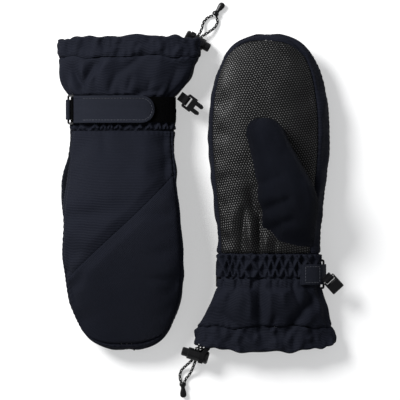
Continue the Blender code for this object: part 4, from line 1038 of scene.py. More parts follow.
def make_thumb_layer(form, sizes, piece, depth, wall, finish):
    """One layer of the thumb, from where it leaves the palm to its tip."""
    outer = depth == 0.0
    rows, columns, clear = (86, 90, 0.2) if outer else (40, 48, wall + 0.3)
    angle = shares(columns) * 360.0
    rims = thumb_rims(form, angle, depth, clear)
    if outer:
        blurred = rims.copy()
        for shift in (-2, -1, 1, 2):
            blurred += np.roll(rims[:-1], shift)[np.arange(columns) % (columns - 1)]
        rims = blurred / 5.0
    share = np.sin(math.pi / 2.0 * shares(rows))[:, None]
    y = rims[None, :] + (THUMB_TIP_Y - depth - rims[None, :]) * share
    angle, y = np.broadcast_arrays(angle[None, :], y)
    grid = thumb_point(form, angle, y, depth)
    grid[-1] = grid[-1].mean(0)
    if form.side == "right":
        grid = sew_root(form, grid, y, depth)
    if outer:
        near = grid_normals(grid)
        height = 0.6 * cloth_noise(grid, 17.0, 7) + 0.25 * cloth_noise(grid, 7.5, 8)
        v = run_lengths(grid, 0)
        fade = smooth(THUMB_TIP_Y - y, 0.0, 10.0) * smooth(v, 0.5, 6.0)
        height += creases(THUMB_FOLDS[form.side], grid, ends_fade=False)
        side_seam = np.minimum.reduce([np.abs(angle - seam) for seam in THUMB_SEAMS]) * THUMB_STEP
        sewn = seam_relief(sizes, side_seam, v) * smooth(THUMB_TIP_Y - y, 2.0, 14.0)
        root = seam_relief(sizes, v, run_lengths(grid, 1))
        grid = grid + near * (height * fade + sewn + root)[..., None]
        grid[-1] = grid[-1].mean(0)
    close_ring(grid)
    work = Patchwork(form).add(grid, surface_map(grid))
    return work.make(f"{form.side}_{piece}_cloth", wall, finish)


# ---- finishes


class Finish:
    """A node material built from the principled shader backwards."""

    def __init__(self, name, **sockets):
        self.material = bpy.data.materials.new(name)
        self.material.use_nodes = True
        self.tree = self.material.node_tree
        self.shader = self.tree.nodes["Principled BSDF"]
        self.finish(**sockets)

    def set(self, node, socket, value):
        entry = node.inputs[socket.replace("Ior", "IOR") if isinstance(socket, str) else socket]
        if isinstance(value, bpy.types.NodeSocket):
            self.tree.links.new(value, entry)
        elif entry.type == "RGBA" and len(value) == 3:
            entry.default_value = (*value, 1.0)
        else:
            entry.default_value = value

    def node(self, kind, sockets=None, output=0, **settings):
        """A node's output, with its settings made and its sockets set or linked."""
        made = self.tree.nodes.new(kind)
        for key, value in settings.items():
            setattr(made, key, value)
        for socket, value in (sockets or {}).items():
            self.set(made, socket, value)
        return made.outputs[output]

    def place(self, kind):
        """Object or UV coordinates."""
        return self.node("ShaderNodeTexCoord", output=kind)

    def sum(self, operation, first, second=0.0, third=0.0):
        return self.node("ShaderNodeMath", {0: first, 1: second, 2: third}, operation=operation)

    def vector(self, operation, first, second=(0.0, 0.0, 0.0), output=0):
        return self.node(
            "ShaderNodeVectorMath", {0: first, 1: second}, output=output, operation=operation
        )

    def noise(self, coordinates, scale, detail=2.0, roughness=0.5):
        return self.node(
            "ShaderNodeTexNoise",
            {"Vector": coordinates, "Scale": scale, "Detail": detail, "Roughness": roughness},
        )

    def bands(self, coordinates, pitch, direction, distortion):
        """Even bands across a direction, one every pitch metres."""
        return self.node(
            "ShaderNodeTexWave",
            {
                "Vector": coordinates,
                "Scale": 2.0 * math.pi / 20.0 / pitch,
                "Distortion": distortion,
                "Detail": 1.0,
                "Detail Scale": 0.4,
            },
            output="Fac",
            wave_type="BANDS",
            bands_direction=direction,
            wave_profile="SIN",
        )

    def ramp(self, value, *stops):
        """Value mapped through (position, colour or grey) stops."""
        made = self.tree.nodes.new("ShaderNodeValToRGB")
        self.set(made, 0, value)
        while len(made.color_ramp.elements) < len(stops):
            made.color_ramp.elements.new(0.5)
        for element, (position, colour) in zip(made.color_ramp.elements, stops):
            element.position = position
            shade = (colour,) * 3 if isinstance(colour, float) else tuple(colour)
            element.color = (*shade, 1.0)
        return made.outputs["Color"]

    def tint(self, factor, first, second):
        made = self.tree.nodes.new("ShaderNodeMix")
        made.data_type = "RGBA"
        for socket, value in ((0, factor), (6, first), (7, second)):
            if not isinstance(value, bpy.types.NodeSocket) and socket and len(value) == 3:
                value = (*value, 1.0)
            self.set(made, socket, value)
        return made.outputs[2]

    def bump(self, height, distance, strength=1.0, under=None):
        sockets = {"Height": height, "Distance": distance, "Strength": strength}
        if under is not None:
            sockets["Normal"] = under
        return self.node("ShaderNodeBump", sockets)

    def shades(self, value, colour, *stops):
        """Value mapped to a colour made darker or lighter by each stop's factor."""
        return self.ramp(value, *((place, shaded(colour, factor)) for place, factor in stops))

    def finish(self, **sockets):
        """The material, with the shader's sockets set."""
        for key, value in sockets.items():
            self.set(self.shader, key.replace("_", " ").title(), value)
        return self.material


def shaded(colour, factor):
    return tuple(channel * factor for channel in colour)


def make_ribbed_cloth(name, colour, pitch):
    """Matt nylon with fine ribs whose valleys are painted darker as painted shade, and small random
    changes of tone.
    """
    made = Finish(name, roughness=0.78)
    flat, solid = made.place("UV"), made.place("Object")
    ribs = made.bands(flat, pitch, "Y", 1.2)
    grain = made.noise(solid, 1400.0, 3.0, 0.7)
    patches = made.noise(solid, 34.0, 3.0, 0.6)
    worn = made.shades(patches, colour, (0.3, 0.82), (0.7, 1.2))
    # Painted shade: the valleys between the ribs are painted darker than the rib tops.
    ribbed = made.tint(made.sum("MULTIPLY", ribs, 0.7), shaded(colour, 0.5), worn)
    specked = made.tint(made.sum("MULTIPLY", grain, 0.5), ribbed, shaded(colour, 1.9))
    rough = made.sum("MULTIPLY_ADD", patches, 0.16, 0.68)
    cloth = made.bump(grain, 0.00012, 0.6)
    relief = made.bump(ribs, 0.00034, 0.9, cloth)
    return made.finish(base_color=specked, roughness=rough, normal=relief, specular_ior_level=0.06)


DOT_SLANT = 9.0


def make_dotted_palm(name, colour, pitch):
    """Coated palm with raised dots in honeycomb rows, the dots painted lighter as a painted
    highlight.
    """
    made = Finish(name)
    flat, solid = made.place("UV"), made.place("Object")
    tall = math.sqrt(3.0)
    turned = made.node(
        "ShaderNodeVectorRotate", {"Vector": flat, "Angle": math.radians(DOT_SLANT)},
        rotation_type="Z_AXIS",
    )
    lattice = made.vector("MULTIPLY", turned, (1.0 / pitch, 1.0 / (pitch * tall), 0.0))
    distances = []
    for shift in (0.0, 0.5):
        moved = made.vector("ADD", lattice, (shift, shift, 0.0))
        cell = made.vector("SUBTRACT", made.vector("FRACTION", moved), (0.5, 0.5, 0.0))
        square = made.vector("MULTIPLY", cell, (1.0, tall, 0.0))
        distances.append(made.vector("LENGTH", square, output="Value"))
    apart = made.sum("MINIMUM", *distances)
    dots = made.ramp(apart, (0.15, 1.0), (0.38, 0.0))
    grain = made.noise(solid, 2200.0, 3.0, 0.65)
    patches = made.noise(solid, 45.0, 2.0, 0.5)
    shade = made.shades(patches, colour, (0.25, 0.75), (0.75, 1.35))
    # Painted highlight: the raised dots are painted lighter than the gaps between them.
    coloured = made.tint(dots, shade, shaded(colour, 1.6))
    rough = made.sum("MULTIPLY_ADD", patches, 0.12, 0.34)
    shine = made.sum("MULTIPLY_ADD", dots, 0.60, 0.03)
    under = made.bump(grain, 0.00006, 0.4)
    relief = made.bump(dots, 0.00032, 0.7, under)
    return made.finish(base_color=coloured, roughness=rough, normal=relief, specular_ior_level=shine)


def make_webbing(name, colour, pitch):
    """Flat woven tape: ribs across it and yarns along it, the raised yarns painted lighter and the
    hollows darker as painted light and shade.
    """
    made = Finish(name)
    flat, solid = made.place("UV"), made.place("Object")
    across = made.bands(flat, pitch, "X", 0.5)
    along = made.bands(flat, pitch * 0.8, "Y", 0.5)
    weave = made.sum("MAXIMUM", across, made.sum("MULTIPLY", along, 0.75))
    fuzz = made.noise(solid, 2600.0, 2.0, 0.6)
    # Painted light and shade: the raised yarns are painted lighter and the hollows between them
    # darker.
    coloured = made.shades(weave, colour, (0.2, 0.55), (0.9, 1.7))
    under = made.bump(fuzz, 0.0001, 0.6)
    relief = made.bump(weave, 0.0003, 0.9, under)
    return made.finish(base_color=coloured, roughness=0.82, normal=relief, specular_ior_level=0.12)


def make_pile(name, colour, scale, depth, light):
    """Brushed loops or hooks, as a rough field of small tufts."""
    made = Finish(name)
    solid = made.place("Object")
    tufts = made.node("ShaderNodeTexVoronoi", {"Vector": solid, "Scale": scale}, output="Distance")
    fuzz = made.noise(solid, scale * 2.3, 3.0, 0.7)
    mixed = made.sum("MULTIPLY_ADD", tufts, 0.7, made.sum("MULTIPLY", fuzz, 0.6))
    coloured = made.shades(mixed, colour, (0.25, light), (0.85, 0.5))
    relief = made.bump(mixed, depth, 1.0)
    return made.finish(base_color=coloured, roughness=0.95, normal=relief, specular_ior_level=0.02)


def make_plastic(name, colour):
    """Moulded plastic with a fine spark-eroded grain and rubbed edges."""
    made = Finish(name)
    solid = made.place("Object")
    grain = made.noise(solid, 5200.0, 2.0, 0.5)
    scuffs = made.noise(solid, 420.0, 5.0, 0.7)
    edges = made.node("ShaderNodeNewGeometry", output="Pointiness")
    rubbed = made.ramp(edges, (0.50, 0.0), (0.62, 1.0))
    worn = made.sum("MULTIPLY", rubbed, made.sum("MULTIPLY", scuffs, 0.8))
    coloured = made.tint(worn, colour, shaded(colour, 4.0))
    rough = made.sum("MULTIPLY_ADD", scuffs, 0.20, 0.24)
    relief = made.bump(grain, 0.00003, 0.5)
    return made.finish(base_color=coloured, roughness=rough, normal=relief, specular_ior_level=0.26)


# Yarns that run each way round the braid, and its diameters for each turn of a yarn's wave
BRAID_YARNS, BRAID_PITCH = 3.0, 1.75


def make_braid(name, colour, fleck, diameter):
    """Round braid: yarns that cross at a slant, with pale yarns at every crossing."""
    made = Finish(name)
    flat, solid = made.place("UV"), made.place("Object")
    girth = math.pi * diameter
    turned, length = (made.node("ShaderNodeSeparateXYZ", {0: flat}, output=axis) for axis in "XY")
    around = made.sum("MULTIPLY", turned, BRAID_YARNS * 2.0 * math.pi / girth)
    onward = made.sum("MULTIPLY", length, 2.0 * math.pi / (BRAID_PITCH * diameter))
    left = made.sum("SINE", made.sum("ADD", around, onward))
    right = made.sum("SINE", made.sum("SUBTRACT", around, onward))
    strands = made.sum("MULTIPLY_ADD", made.sum("MAXIMUM", left, right), 0.5, 0.5)
    pale = made.ramp(made.sum("MINIMUM", left, right), (0.22, 0.0), (0.42, 1.0))
    fuzz = made.noise(solid, 3000.0, 2.0, 0.6)
    dark = made.shades(fuzz, colour, (0.3, 0.8), (0.7, 1.8))
    coloured = made.tint(pale, dark, fleck)
    relief = made.bump(strands, 0.00035, 0.9, made.bump(fuzz, 0.0001, 0.4))
    return made.finish(base_color=coloured, roughness=0.72, normal=relief, specular_ior_level=0.1)


def make_fluff(name, colour, scale, depth):
    """Fleece or wadding: a soft tangle of fibres."""
    made = Finish(name)
    solid = made.place("Object")
    tangle = made.noise(solid, scale, 6.0, 0.75)
    lumps = made.noise(solid, scale * 0.12, 2.0, 0.5)
    coloured = made.shades(tangle, colour, (0.3, 0.6), (0.7, 1.25))
    soft = made.tint(made.sum("MULTIPLY", lumps, 0.4), coloured, shaded(colour, 0.85))
    relief = made.bump(tangle, depth, 0.9)
    return made.finish(
        base_color=soft, roughness=0.97, normal=relief, sheen_weight=0.35, sheen_roughness=0.5
    )


def make_membrane(name, colour):
    """Thin film with a faint crinkle."""
    made = Finish(name)
    solid = made.place("Object")
    crinkle = made.node(
        "ShaderNodeTexVoronoi", {"Vector": solid, "Scale": 90.0}, output="Distance",
        feature="DISTANCE_TO_EDGE",
    )
    haze = made.noise(solid, 60.0, 3.0, 0.5)
    coloured = made.shades(haze, colour, (0.3, 0.88), (0.7, 1.0))
    relief = made.bump(crinkle, 0.0004, 0.5)
    return made.finish(base_color=coloured, roughness=0.42, normal=relief)


def make_wire(name):
    """Drawn spring wire."""
    made = Finish(name, metallic=1.0)
    solid = made.place("Object")
    scratches = made.noise(solid, 3800.0, 3.0, 0.6)
    coloured = made.ramp(scratches, (0.3, 0.42), (0.7, 0.62))
    rough = made.sum("MULTIPLY_ADD", scratches, 0.2, 0.2)
    return made.finish(base_color=coloured, roughness=rough, normal=made.bump(scratches, 0.00003))


def make_thread(name, colour):
    """Twisted sewing thread."""
    made = Finish(name)
    solid = made.place("Object")
    twist = made.noise(solid, 4200.0, 2.0, 0.5)
    coloured = made.shades(twist, colour, (0.3, 0.7), (0.7, 1.5))
    relief = made.bump(twist, 0.0001)
    return made.finish(base_color=coloured, roughness=0.6, normal=relief, sheen_weight=0.2)


# Colours of the finishes that hardly show
FLEECE_COLOUR, WADDING_COLOUR = (0.030, 0.032, 0.040), (0.72, 0.72, 0.70)
MEMBRANE_COLOUR = (0.50, 0.52, 0.55)


def make_finishes(sizes, colours):
    black = tuple(colours.black)
    navy, trim = tuple(colours.navy), tuple(colours.trim)
    return {
        "navy": make_ribbed_cloth("Ribbed navy nylon", navy, sizes.rib_pitch),
        # The thumbs' cloth is a darker copy of the navy as painted shade.
        "thumb": make_ribbed_cloth("Smooth navy nylon with painted shade", tuple(colours.thumb), 0.0009),
        "trim": make_ribbed_cloth("Navy strap cloth", trim, 0.0011),
        "palm": make_dotted_palm("Dotted palm", tuple(colours.palm), sizes.dot_pitch),
        "webbing": make_webbing("Black webbing", black, 0.0013),
        "loop": make_pile("Black loop pile", shaded(black, 0.4), 1500.0, 0.0006, 1.8),
        "hook": make_pile("Black hook tape", black, 900.0, 0.0007, 1.6),
        "plastic": make_plastic("Black plastic", shaded(black, 0.6)),
        "cord": make_braid("Flecked cord", black, tuple(colours.fleck), sizes.cord_diameter),
        "fleece": make_fluff("Dark fleece", FLEECE_COLOUR, 1100.0, 0.0006),
        "wadding": make_fluff("White wadding", WADDING_COLOUR, 500.0, 0.0008),
        "membrane": make_membrane("Pale membrane", MEMBRANE_COLOUR),
        "elastic": make_webbing("Black elastic", black, 0.0009),
        "steel": make_wire("Spring wire"),
        "thread": make_thread("Navy thread", shaded(trim, 1.6)),
    }


# ---- settling of the shell

SIM_COLUMNS = 84
SIM_FRAMES = 20
SEWN_REACH, SEWN_HOLD = 2.2, 0.7
CLOTH_SETTINGS = {
    "quality": 6,
    "mass": 0.15,
    "tension_stiffness": 12.0,
    "compression_stiffness": 12.0,
    "shear_stiffness": 4.0,
    "bending_stiffness": 0.08,
    "air_damping": 2.0,
    "use_pressure": True,
}


def settle_shell(form, sizes):
    """Swells the shell over its padding with a short cloth simulation."""
    rows = np.concatenate(
        [
            np.linspace(-86.0, CUFF_TOP_Y, 17),
            np.linspace(CUFF_TOP_Y, CASING_TOP_Y, 7)[1:],
            np.linspace(CASING_TOP_Y, 196.0, 48)[1:],
            HAND_LENGTH - 25.0 * (1.0 - shares(9)[1:-1]) ** 2,
        ]
    )
    angle = (360.0 * np.arange(SIM_COLUMNS) / SIM_COLUMNS)[None, :]
    rest = form.skin(angle, rows[:, None])
    count = len(rows)
    ends = [rest[0].mean(0), form.skin(90.0, HAND_LENGTH - 0.01)]
    points = form.world(np.concatenate([rest.reshape(-1, 3), np.stack(ends)]))
    index = np.arange(count * SIM_COLUMNS).reshape(count, SIM_COLUMNS)
    turned = np.roll(index, -1, 1)
    quads = np.stack([index[:-1], index[1:], turned[1:], turned[:-1]], -1).reshape(-1, 4).tolist()
    low, tip = count * SIM_COLUMNS, count * SIM_COLUMNS + 1
    caps = [(low, a, b) for a, b in zip(index[0].tolist(), turned[0].tolist())]
    caps += [(a, tip, b) for a, b in zip(index[-1].tolist(), turned[-1].tolist())]
    faces = quads + caps
    if form.turn < 0.0:
        faces = [tuple(reversed(face)) for face in faces]
    mesh = build_mesh(f"{form.side}_settling", points, faces)
    thing = bpy.data.objects.new(mesh.name, mesh)
    bpy.context.scene.collection.objects.link(thing)
    hold = thing.vertex_groups.new(name="Sewn")
    for j, y in enumerate(rows):
        for i, degrees in enumerate(angle[0]):
            apart = min(degrees_apart(degrees, seam) for seam in SEAM_ANGLES)
            if CUFF_TOP_Y - 3.0 <= y <= CASING_TOP_Y + 1.0 or y <= CHANNEL_TOP_Y + 1.0:
                hold.add([int(index[j, i])], 1.0, "REPLACE")
            elif apart < SEWN_REACH and y < 200.0:
                hold.add([int(index[j, i])], SEWN_HOLD, "REPLACE")
    hold.add([low, tip], 1.0, "REPLACE")
    cloth = thing.modifiers.new("Cloth", "CLOTH")
    for setting, value in CLOTH_SETTINGS.items():
        setattr(cloth.settings, setting, value)
    cloth.settings.shrink_min = -sizes.spare_cloth
    cloth.settings.vertex_group_mass = hold.name
    cloth.settings.uniform_pressure_force = sizes.loft
    cloth.settings.effector_weights.gravity = 0.0
    cloth.collision_settings.use_collision = False
    cloth.point_cache.frame_start = 1
    cloth.point_cache.frame_end = SIM_FRAMES
    for frame_number in range(1, SIM_FRAMES + 1):
        bpy.context.scene.frame_set(frame_number)
    choose(thing)
    bpy.ops.object.modifier_apply(modifier=cloth.name)
    mesh = thing.data
    spots = np.empty(len(mesh.vertices) * 3)
    mesh.vertices.foreach_get("co", spots)
    bpy.context.scene.frame_set(1)
    bpy.data.objects.remove(thing, do_unlink=True)
    swollen = form.local(spots.reshape(-1, 3))
    moved = swollen[: count * SIM_COLUMNS].reshape(count, SIM_COLUMNS, 3) - rest
    for _ in range(2):
        moved = (np.roll(moved, 1, 1) + 2.0 * moved + np.roll(moved, -1, 1)) / 4.0
        moved[1:-1] = (moved[:-2] + 2.0 * moved[1:-1] + moved[2:]) / 4.0
    length = np.linalg.norm(moved, axis=-1, keepdims=True)
    limit = sizes.swell_limit / MM
    moved *= limit * np.tanh(length / limit) / np.maximum(length, 1e-6)
    top = np.repeat(moved[-1].mean(0)[None, None] * 0.3, SIM_COLUMNS, 1)
    form.settled = (np.concatenate([rows, [HAND_LENGTH]]), np.concatenate([moved, top]))


# ---- straps and webbing

STRAP_WIDTH, TAB_WIDTH, ANCHOR_WIDTH = 25.0, 27.0, 20.0
STRAP_WALL, HOOK_WALL, TAB_WALL, ANCHOR_WALL = 1.8, 0.8, 1.4, 1.0
STRAP_SEW_ANGLE, STRAP_BAR_ANGLE = 197.0, 330.0
ANCHOR_SEW_ANGLE, ANCHOR_BAR_ANGLE = 58.0, 352.0
TAB_END_ANGLE = 241.0
HOOK_ANGLES = (246.0, 266.0)
RING_STANDOFF, RING_RADIUS = 4.4, 1.1
BAND_GAP, CLEARANCE, CORD_GAP = 1.3, 0.3, 0.3


class Place:
    """A fixed frame in the scene, in millimetres, that a Patchwork can be built in."""

    def __init__(self, origin, axes=((1, 0, 0), (0, 1, 0), (0, 0, 1))):
        self.turn = 1.0
        self.origin = np.array(origin, float)
        self.axes = np.array(axes, float)

    def world(self, points):
        return (self.origin + np.asarray(points) @ self.axes) * MM


PAIR = Place((-0.65, -2.93, -0.1))


def bar_frame(form, angle):
    """Centre of a ring bar, and the directions outwards and round the wrist there."""
    centre = form.skin(angle, STRAP_Y, -RING_STANDOFF)
    along = form.skin(angle + 1.0, STRAP_Y, -RING_STANDOFF) - centre
    along[1] = 0.0
    along = along / np.linalg.norm(along)
    outward = np.array([along[2], 0.0, -along[0]])
    return centre, outward, along


def round_bar(form, bar_angle, wall, start, end, count):
    """Points round a ring bar, from start to end degrees, 0 being outwards."""
    centre, outward, along = bar_frame(form, bar_angle)
    reach = RING_RADIUS + CORD_GAP + wall / 2
    turn = np.radians(np.linspace(start, end, count))[:, None]
    return centre + (outward * np.cos(turn) + along * np.sin(turn)) * reach


def on_skin(angles, standoff):
    """Places of a band's path at angles round the wrist."""
    return [(float(angle), standoff) for angle in angles]


def band(form, name, path, width, wall, finish, round_end=0.0, binding=0.0, rows=29):
    """A strap along a path of (angle, standoff) places and fixed points."""
    mids = []
    for entry in path:
        fixed = isinstance(entry, np.ndarray)
        mids.append(entry if fixed else form.skin(entry[0], STRAP_Y, -entry[1]))
    way = run_lengths(np.array(mids), 0)
    half = np.full(len(path), width / 2)
    if round_end:
        near = 1.0 - np.clip((way + 0.15) / (round_end + 0.15), 0.0, 1.0)
        half = half * np.sqrt(1.0 - near**2)
    across = shares(rows, -1.0, 1.0)
    grid = np.empty((rows, len(path), 3))
    for i, entry in enumerate(path):
        y = STRAP_Y + half[i] * across
        if isinstance(entry, np.ndarray):
            grid[:, i] = np.stack([np.full(rows, entry[0]), y, np.full(rows, entry[2])], -1)
        else:
            grid[:, i] = form.skin(entry[0], y, -entry[1])
    from_edge = half[None, :] - np.abs(across[:, None]) * half[None, :]
    if round_end:
        from_end = np.hypot(np.maximum(round_end - way, 0.0)[None, :], half * across[:, None])
        from_edge = np.where(way[None, :] < round_end, round_end - from_end, from_edge)
    from_edge = np.maximum(from_edge, 0.0)
    if binding:
        height = binding * (1.0 - smooth(from_edge, 1.9, 2.5))
        height = height - 0.25 * np.exp(-(((from_edge - 2.6) / 0.35) ** 2))
        height = height - 0.2 * (1.0 - smooth(from_edge, 0.0, 0.5))
    else:
        height = -0.12 * (1.0 - smooth(from_edge, 0.0, 0.6))
    height = height + 0.05 * cloth_noise(grid, 5.0, 5)
    grid = grid + grid_normals(grid) * height[..., None]
    v = np.broadcast_to(across[:, None] * width / 2, grid.shape[:2])
    uv = np.stack([np.broadcast_to(way[None, :], grid.shape[:2]), v], -1)
    work = Patchwork(form).add(grid, uv)
    return work.make(f"{form.side}_{name}_cloth", wall, finish, offset=0.0)


def make_straps(form, finishes):
    """The strap, its pull tab with the hook patch, and the anchor of its ring."""
    low = BAND_GAP + STRAP_WALL / 2
    top = BAND_GAP + STRAP_WALL + HOOK_WALL + 2 * CLEARANCE + TAB_WALL / 2
    around = list(round_bar(form, STRAP_BAR_ANGLE, STRAP_WALL, 180.0, 0.0, 17))
    along = bar_frame(form, STRAP_BAR_ANGLE)[2]
    fold_end = around[-1] - along * 1.5
    path = on_skin(np.linspace(STRAP_SEW_ANGLE, 322.0, 110), low) + around + [fold_end]
    made = {}
    made["wrist_strap"] = band(
        form, "wrist_strap", path, STRAP_WIDTH, STRAP_WALL, finishes["loop"]
    )
    hinge = fold_end - along * CLEARANCE
    close = TAB_END_ANGLE + 10.0 * shares(26) ** 2
    over = on_skin(np.concatenate([close, np.linspace(251.0, 312.0, 62)[1:]]), top)
    made["strap_tab"] = band(
        form, "strap_tab", over + [hinge], TAB_WIDTH, TAB_WALL, finishes["trim"],
        round_end=TAB_WIDTH / 2, binding=0.3,
    )
    middle = BAND_GAP + STRAP_WALL + CLEARANCE + HOOK_WALL / 2
    patch = on_skin(np.linspace(*HOOK_ANGLES, 26), middle)
    made["hook_patch"] = band(
        form, "hook_patch", patch, TAB_WIDTH - 8.0, HOOK_WALL, finishes["hook"], rows=15
    )
    low = BAND_GAP + ANCHOR_WALL / 2
    top = low + ANCHOR_WALL + CORD_GAP
    around = list(round_bar(form, ANCHOR_BAR_ANGLE, ANCHOR_WALL, -180.0, 0.0, 17))
    straight = around[-1] + bar_frame(form, ANCHOR_BAR_ANGLE)[2] * 1.5
    path = on_skin(np.linspace(ANCHOR_SEW_ANGLE, 4.0, 46), low) + around + [straight]
    path += on_skin(np.linspace(16.0, ANCHOR_SEW_ANGLE - 2.0, 34), top)
    made["ring_anchor"] = band(
        form, "ring_anchor", path, ANCHOR_WIDTH, ANCHOR_WALL, finishes["trim"], rows=19
    )
    return made


CLIPS = {
    "left": Place(
        (-14.65, 97.07, 19.9),
        ((0.7845, -0.5883, -0.1961), (0.6, 0.8, 0.0), (0.1569, -0.1177, 0.9806)),
    ),
    "right": Place(
        (128.15, -81.83, 30.0),
        ((0.6361, -0.6939, -0.3373), (0.7372, 0.6757, 0.0), (0.2279, -0.2487, 0.9414)),
    ),
}
CLIP_ROOTS = {"left": 8.0, "right": 5.0}
CLIP_BAR_RADIUS, PRONG_HEIGHT = 1.1, 2.6
CLIP_WEBBING_WIDTH, CLIP_WEBBING_WALL = 9.4, 0.9


def make_clip_webbing(side, finishes):
    """Two plies of tape from the side seam, with their loop round the clip's bar."""
    place = CLIPS[side]
    reach = math.hypot(CLIP_BAR_RADIUS, PRONG_HEIGHT / 2) + CORD_GAP + CLIP_WEBBING_WALL / 2
    ply = CLIP_WEBBING_WALL / 2 + CORD_GAP / 2
    root = CLIP_ROOTS[side]
    bend = np.radians(np.linspace(130.0, -130.0, 21))
    path = [(x, ply) for x in np.linspace(-root, -3.8, 8)]
    path += list(zip(reach * np.cos(bend), reach * np.sin(bend)))
    path += [(x, -ply) for x in np.linspace(-3.8, -root, 8)]
    path = np.array(path)
    across = shares(13, -0.5, 0.5) * CLIP_WEBBING_WIDTH
    grid = np.empty((13, len(path), 3))
    grid[..., 0] = path[None, :, 0]
    grid[..., 1] = across[:, None]
    grid[..., 2] = path[None, :, 1]
    way = run_lengths(grid, 1)
    work = Patchwork(place).add(grid, np.stack([way, grid[..., 1]], -1))
    return work.make(
        f"{side}_clip_webbing_cloth", CLIP_WEBBING_WALL, finishes["webbing"], offset=0.0
    )


# ---- stitching

THREAD_RADIUS = 0.27


def make_stitches(name, place, lines, sizes, finish):
    """Short raised stitches, evenly spaced along lines of points."""
    pitch, length = sizes.stitch_pitch / MM, sizes.stitch_length / MM
    sides, stations = 6, (-0.5, -0.36, 0.0, 0.36, 0.5)
    swell = (0.25, 0.85, 1.0, 0.85, 0.25)
    turn = 2.0 * math.pi * np.arange(sides) / sides
    points, faces = [], []
    for line in lines:
        way = run_lengths(line, 0)
        for spot in np.arange(pitch / 2, way[-1] - pitch / 2, pitch):
            middle, ends = (
                np.array([np.interp(at, way, line[:, k]) for k in range(3)])
                for at in (spot, spot + 0.2)
            )
            ahead = (ends - middle) / max(np.linalg.norm(ends - middle), 1e-9)
            side = np.cross(ahead, (0.12, 0.25, 0.96))
            side /= np.linalg.norm(side)
            up = np.cross(side, ahead)
            base = len(points)
            for share, wide in zip(stations, swell):
                centre = middle + ahead * share * length
                for step in turn:
                    off = side * math.cos(step) + up * math.sin(step)
                    points.append(centre + off * THREAD_RADIUS * wide)
            for i in range(len(stations) - 1):
                for k in range(sides):
                    low, high = base + i * sides, base + (i + 1) * sides
                    faces.append((low + k, low + (k + 1) % sides, high + (k + 1) % sides, high + k))
            last = base + (len(stations) - 1) * sides
            faces.append(tuple(base + k for k in reversed(range(sides))))
            faces.append(tuple(last + k for k in range(sides)))
    mesh = build_mesh(name, place.world(np.array(points)), faces)
    clean_mesh(mesh, 0.0, False)
    mesh.shade_smooth()
    return show(name, mesh, finish)


def tab_stitch_lines(form):
    """A row of stitches inside the strap tab's edge, round its free end."""
    top = BAND_GAP + STRAP_WALL + HOOK_WALL + 2 * CLEARANCE + TAB_WALL + 0.1
    inset = TAB_WIDTH / 2 - 2.7
    angles = np.linspace(TAB_END_ANGLE, 311.0, 300)
    way = run_lengths(form.skin(angles, STRAP_Y, -top), 0)
    centre = TAB_WIDTH / 2
    along = way[way > centre + 0.5][::-1]
    half_turn = np.radians(np.linspace(90.0, 270.0, 40))
    straight = np.full(along.shape, inset)
    spots = np.concatenate([along, centre + inset * np.cos(half_turn), along[::-1]])
    off = np.concatenate([straight, inset * np.sin(half_turn), -straight])
    return [form.skin(np.interp(spots, way, angles), STRAP_Y + off, -top)]


def anchor_stitch_lines(form):
    """The box of stitches that holds the ring's anchor."""
    top = BAND_GAP + 2 * ANCHOR_WALL + CORD_GAP + 0.1
    inset = ANCHOR_WIDTH / 2 - 2.2
    near, far = 24.0, 52.0
    out = np.linspace(near, far, 20)
    angles = np.concatenate([out, np.full(10, far), np.linspace(far, near, 20)])
    off = np.concatenate([np.full(20, inset), np.linspace(inset, -inset, 10), np.full(20, -inset)])
    cross = form.skin(np.full(10, near), STRAP_Y + np.linspace(-inset, inset, 10), -top)
    return [form.skin(angles, STRAP_Y + off, -top), cross]


# ---- drawcords

# Places in the pair's frame
LOCKS = {
    "right": {
        "centre": (-4.5, -155.5, 15.0),
        "axis": (0.961, -0.276, 0.0),
        "bore": (-0.24, -0.83, -0.5),
    },
    "left": {
        "centre": (-3.0, 159.5, 7.3),
        "axis": (-0.883, 0.469, 0.0),
        "bore": (0.46, 0.865, -0.15),
    },
}
CORD_STARTS = {
    "right": [(0.5, -144.8, 20.6), (0.0, -148.5, 20.4)],
    "left": [(-8.2, 147.5, 16.0), (-6.0, 151.0, 10.5)],
}
CORD_ENDS = {
    "right": {
        -1: [(-13.5, -166.5, 5.6), (-18.6, -171.8, 2.2), (-20.4, -178.0, 1.5), (-19.1, -184.4, 2.4)],
        1: [(-7.6, -170.0, 6.6), (-10.6, -176.0, 2.6), (-14.2, -180.4, 1.6), (-15.8, -184.4, 2.4)],
    },
    "left": {
        -1: [(9.0, 169.5, 4.6), (14.6, 174.0, 2.2), (17.6, 179.6, 1.6), (16.4, 185.0, 2.4)],
        1: [(1.5, 172.0, 4.6), (3.4, 179.0, 2.2), (7.6, 184.0, 1.6), (13.2, 186.4, 2.4)],
    },
}
PULLS = {
    "right": {"top": (-17.4, -184.9, 3.4), "out": (0.05, -1.0, 0.0)},
    "left": {"top": (15.0, 187.0, 3.4), "out": (0.60, 0.80, 0.0)},
}
# Along the pull, half its width and half its thickness
PULL_PROFILE = [
    (-1.0, 2.3, 2.0), (-0.4, 3.3, 2.8), (1.6, 3.5, 3.0), (2.6, 3.2, 2.7), (3.4, 2.2, 2.0),
    (4.6, 2.0, 1.8), (6.2, 2.3, 1.9), (8.6, 3.0, 2.0), (11.0, 3.3, 2.0), (12.8, 3.1, 1.8),
    (14.0, 2.2, 1.4), (14.5, 1.0, 0.7),
]
TAB_HEMS = {"right": (7.6, -148.9, 21.5), "left": (-9.0, 164.9, 16.5)}
TAB_STATION, TAB_HALF_WIDTH, TAB_TAPE_WALL = 6.6, 2.4, 0.8
CORD_SPACING = 3.3
BARREL_RADIUS, BUTTON_TRAVEL = 6.0, 3.0
DRAWCORD_Y, DRAWCORD_DEPTH = -82.0, 3.8
DRAWCORD_ANGLES = {"right": (161.0, 149.0), "left": (157.0, 141.0)}


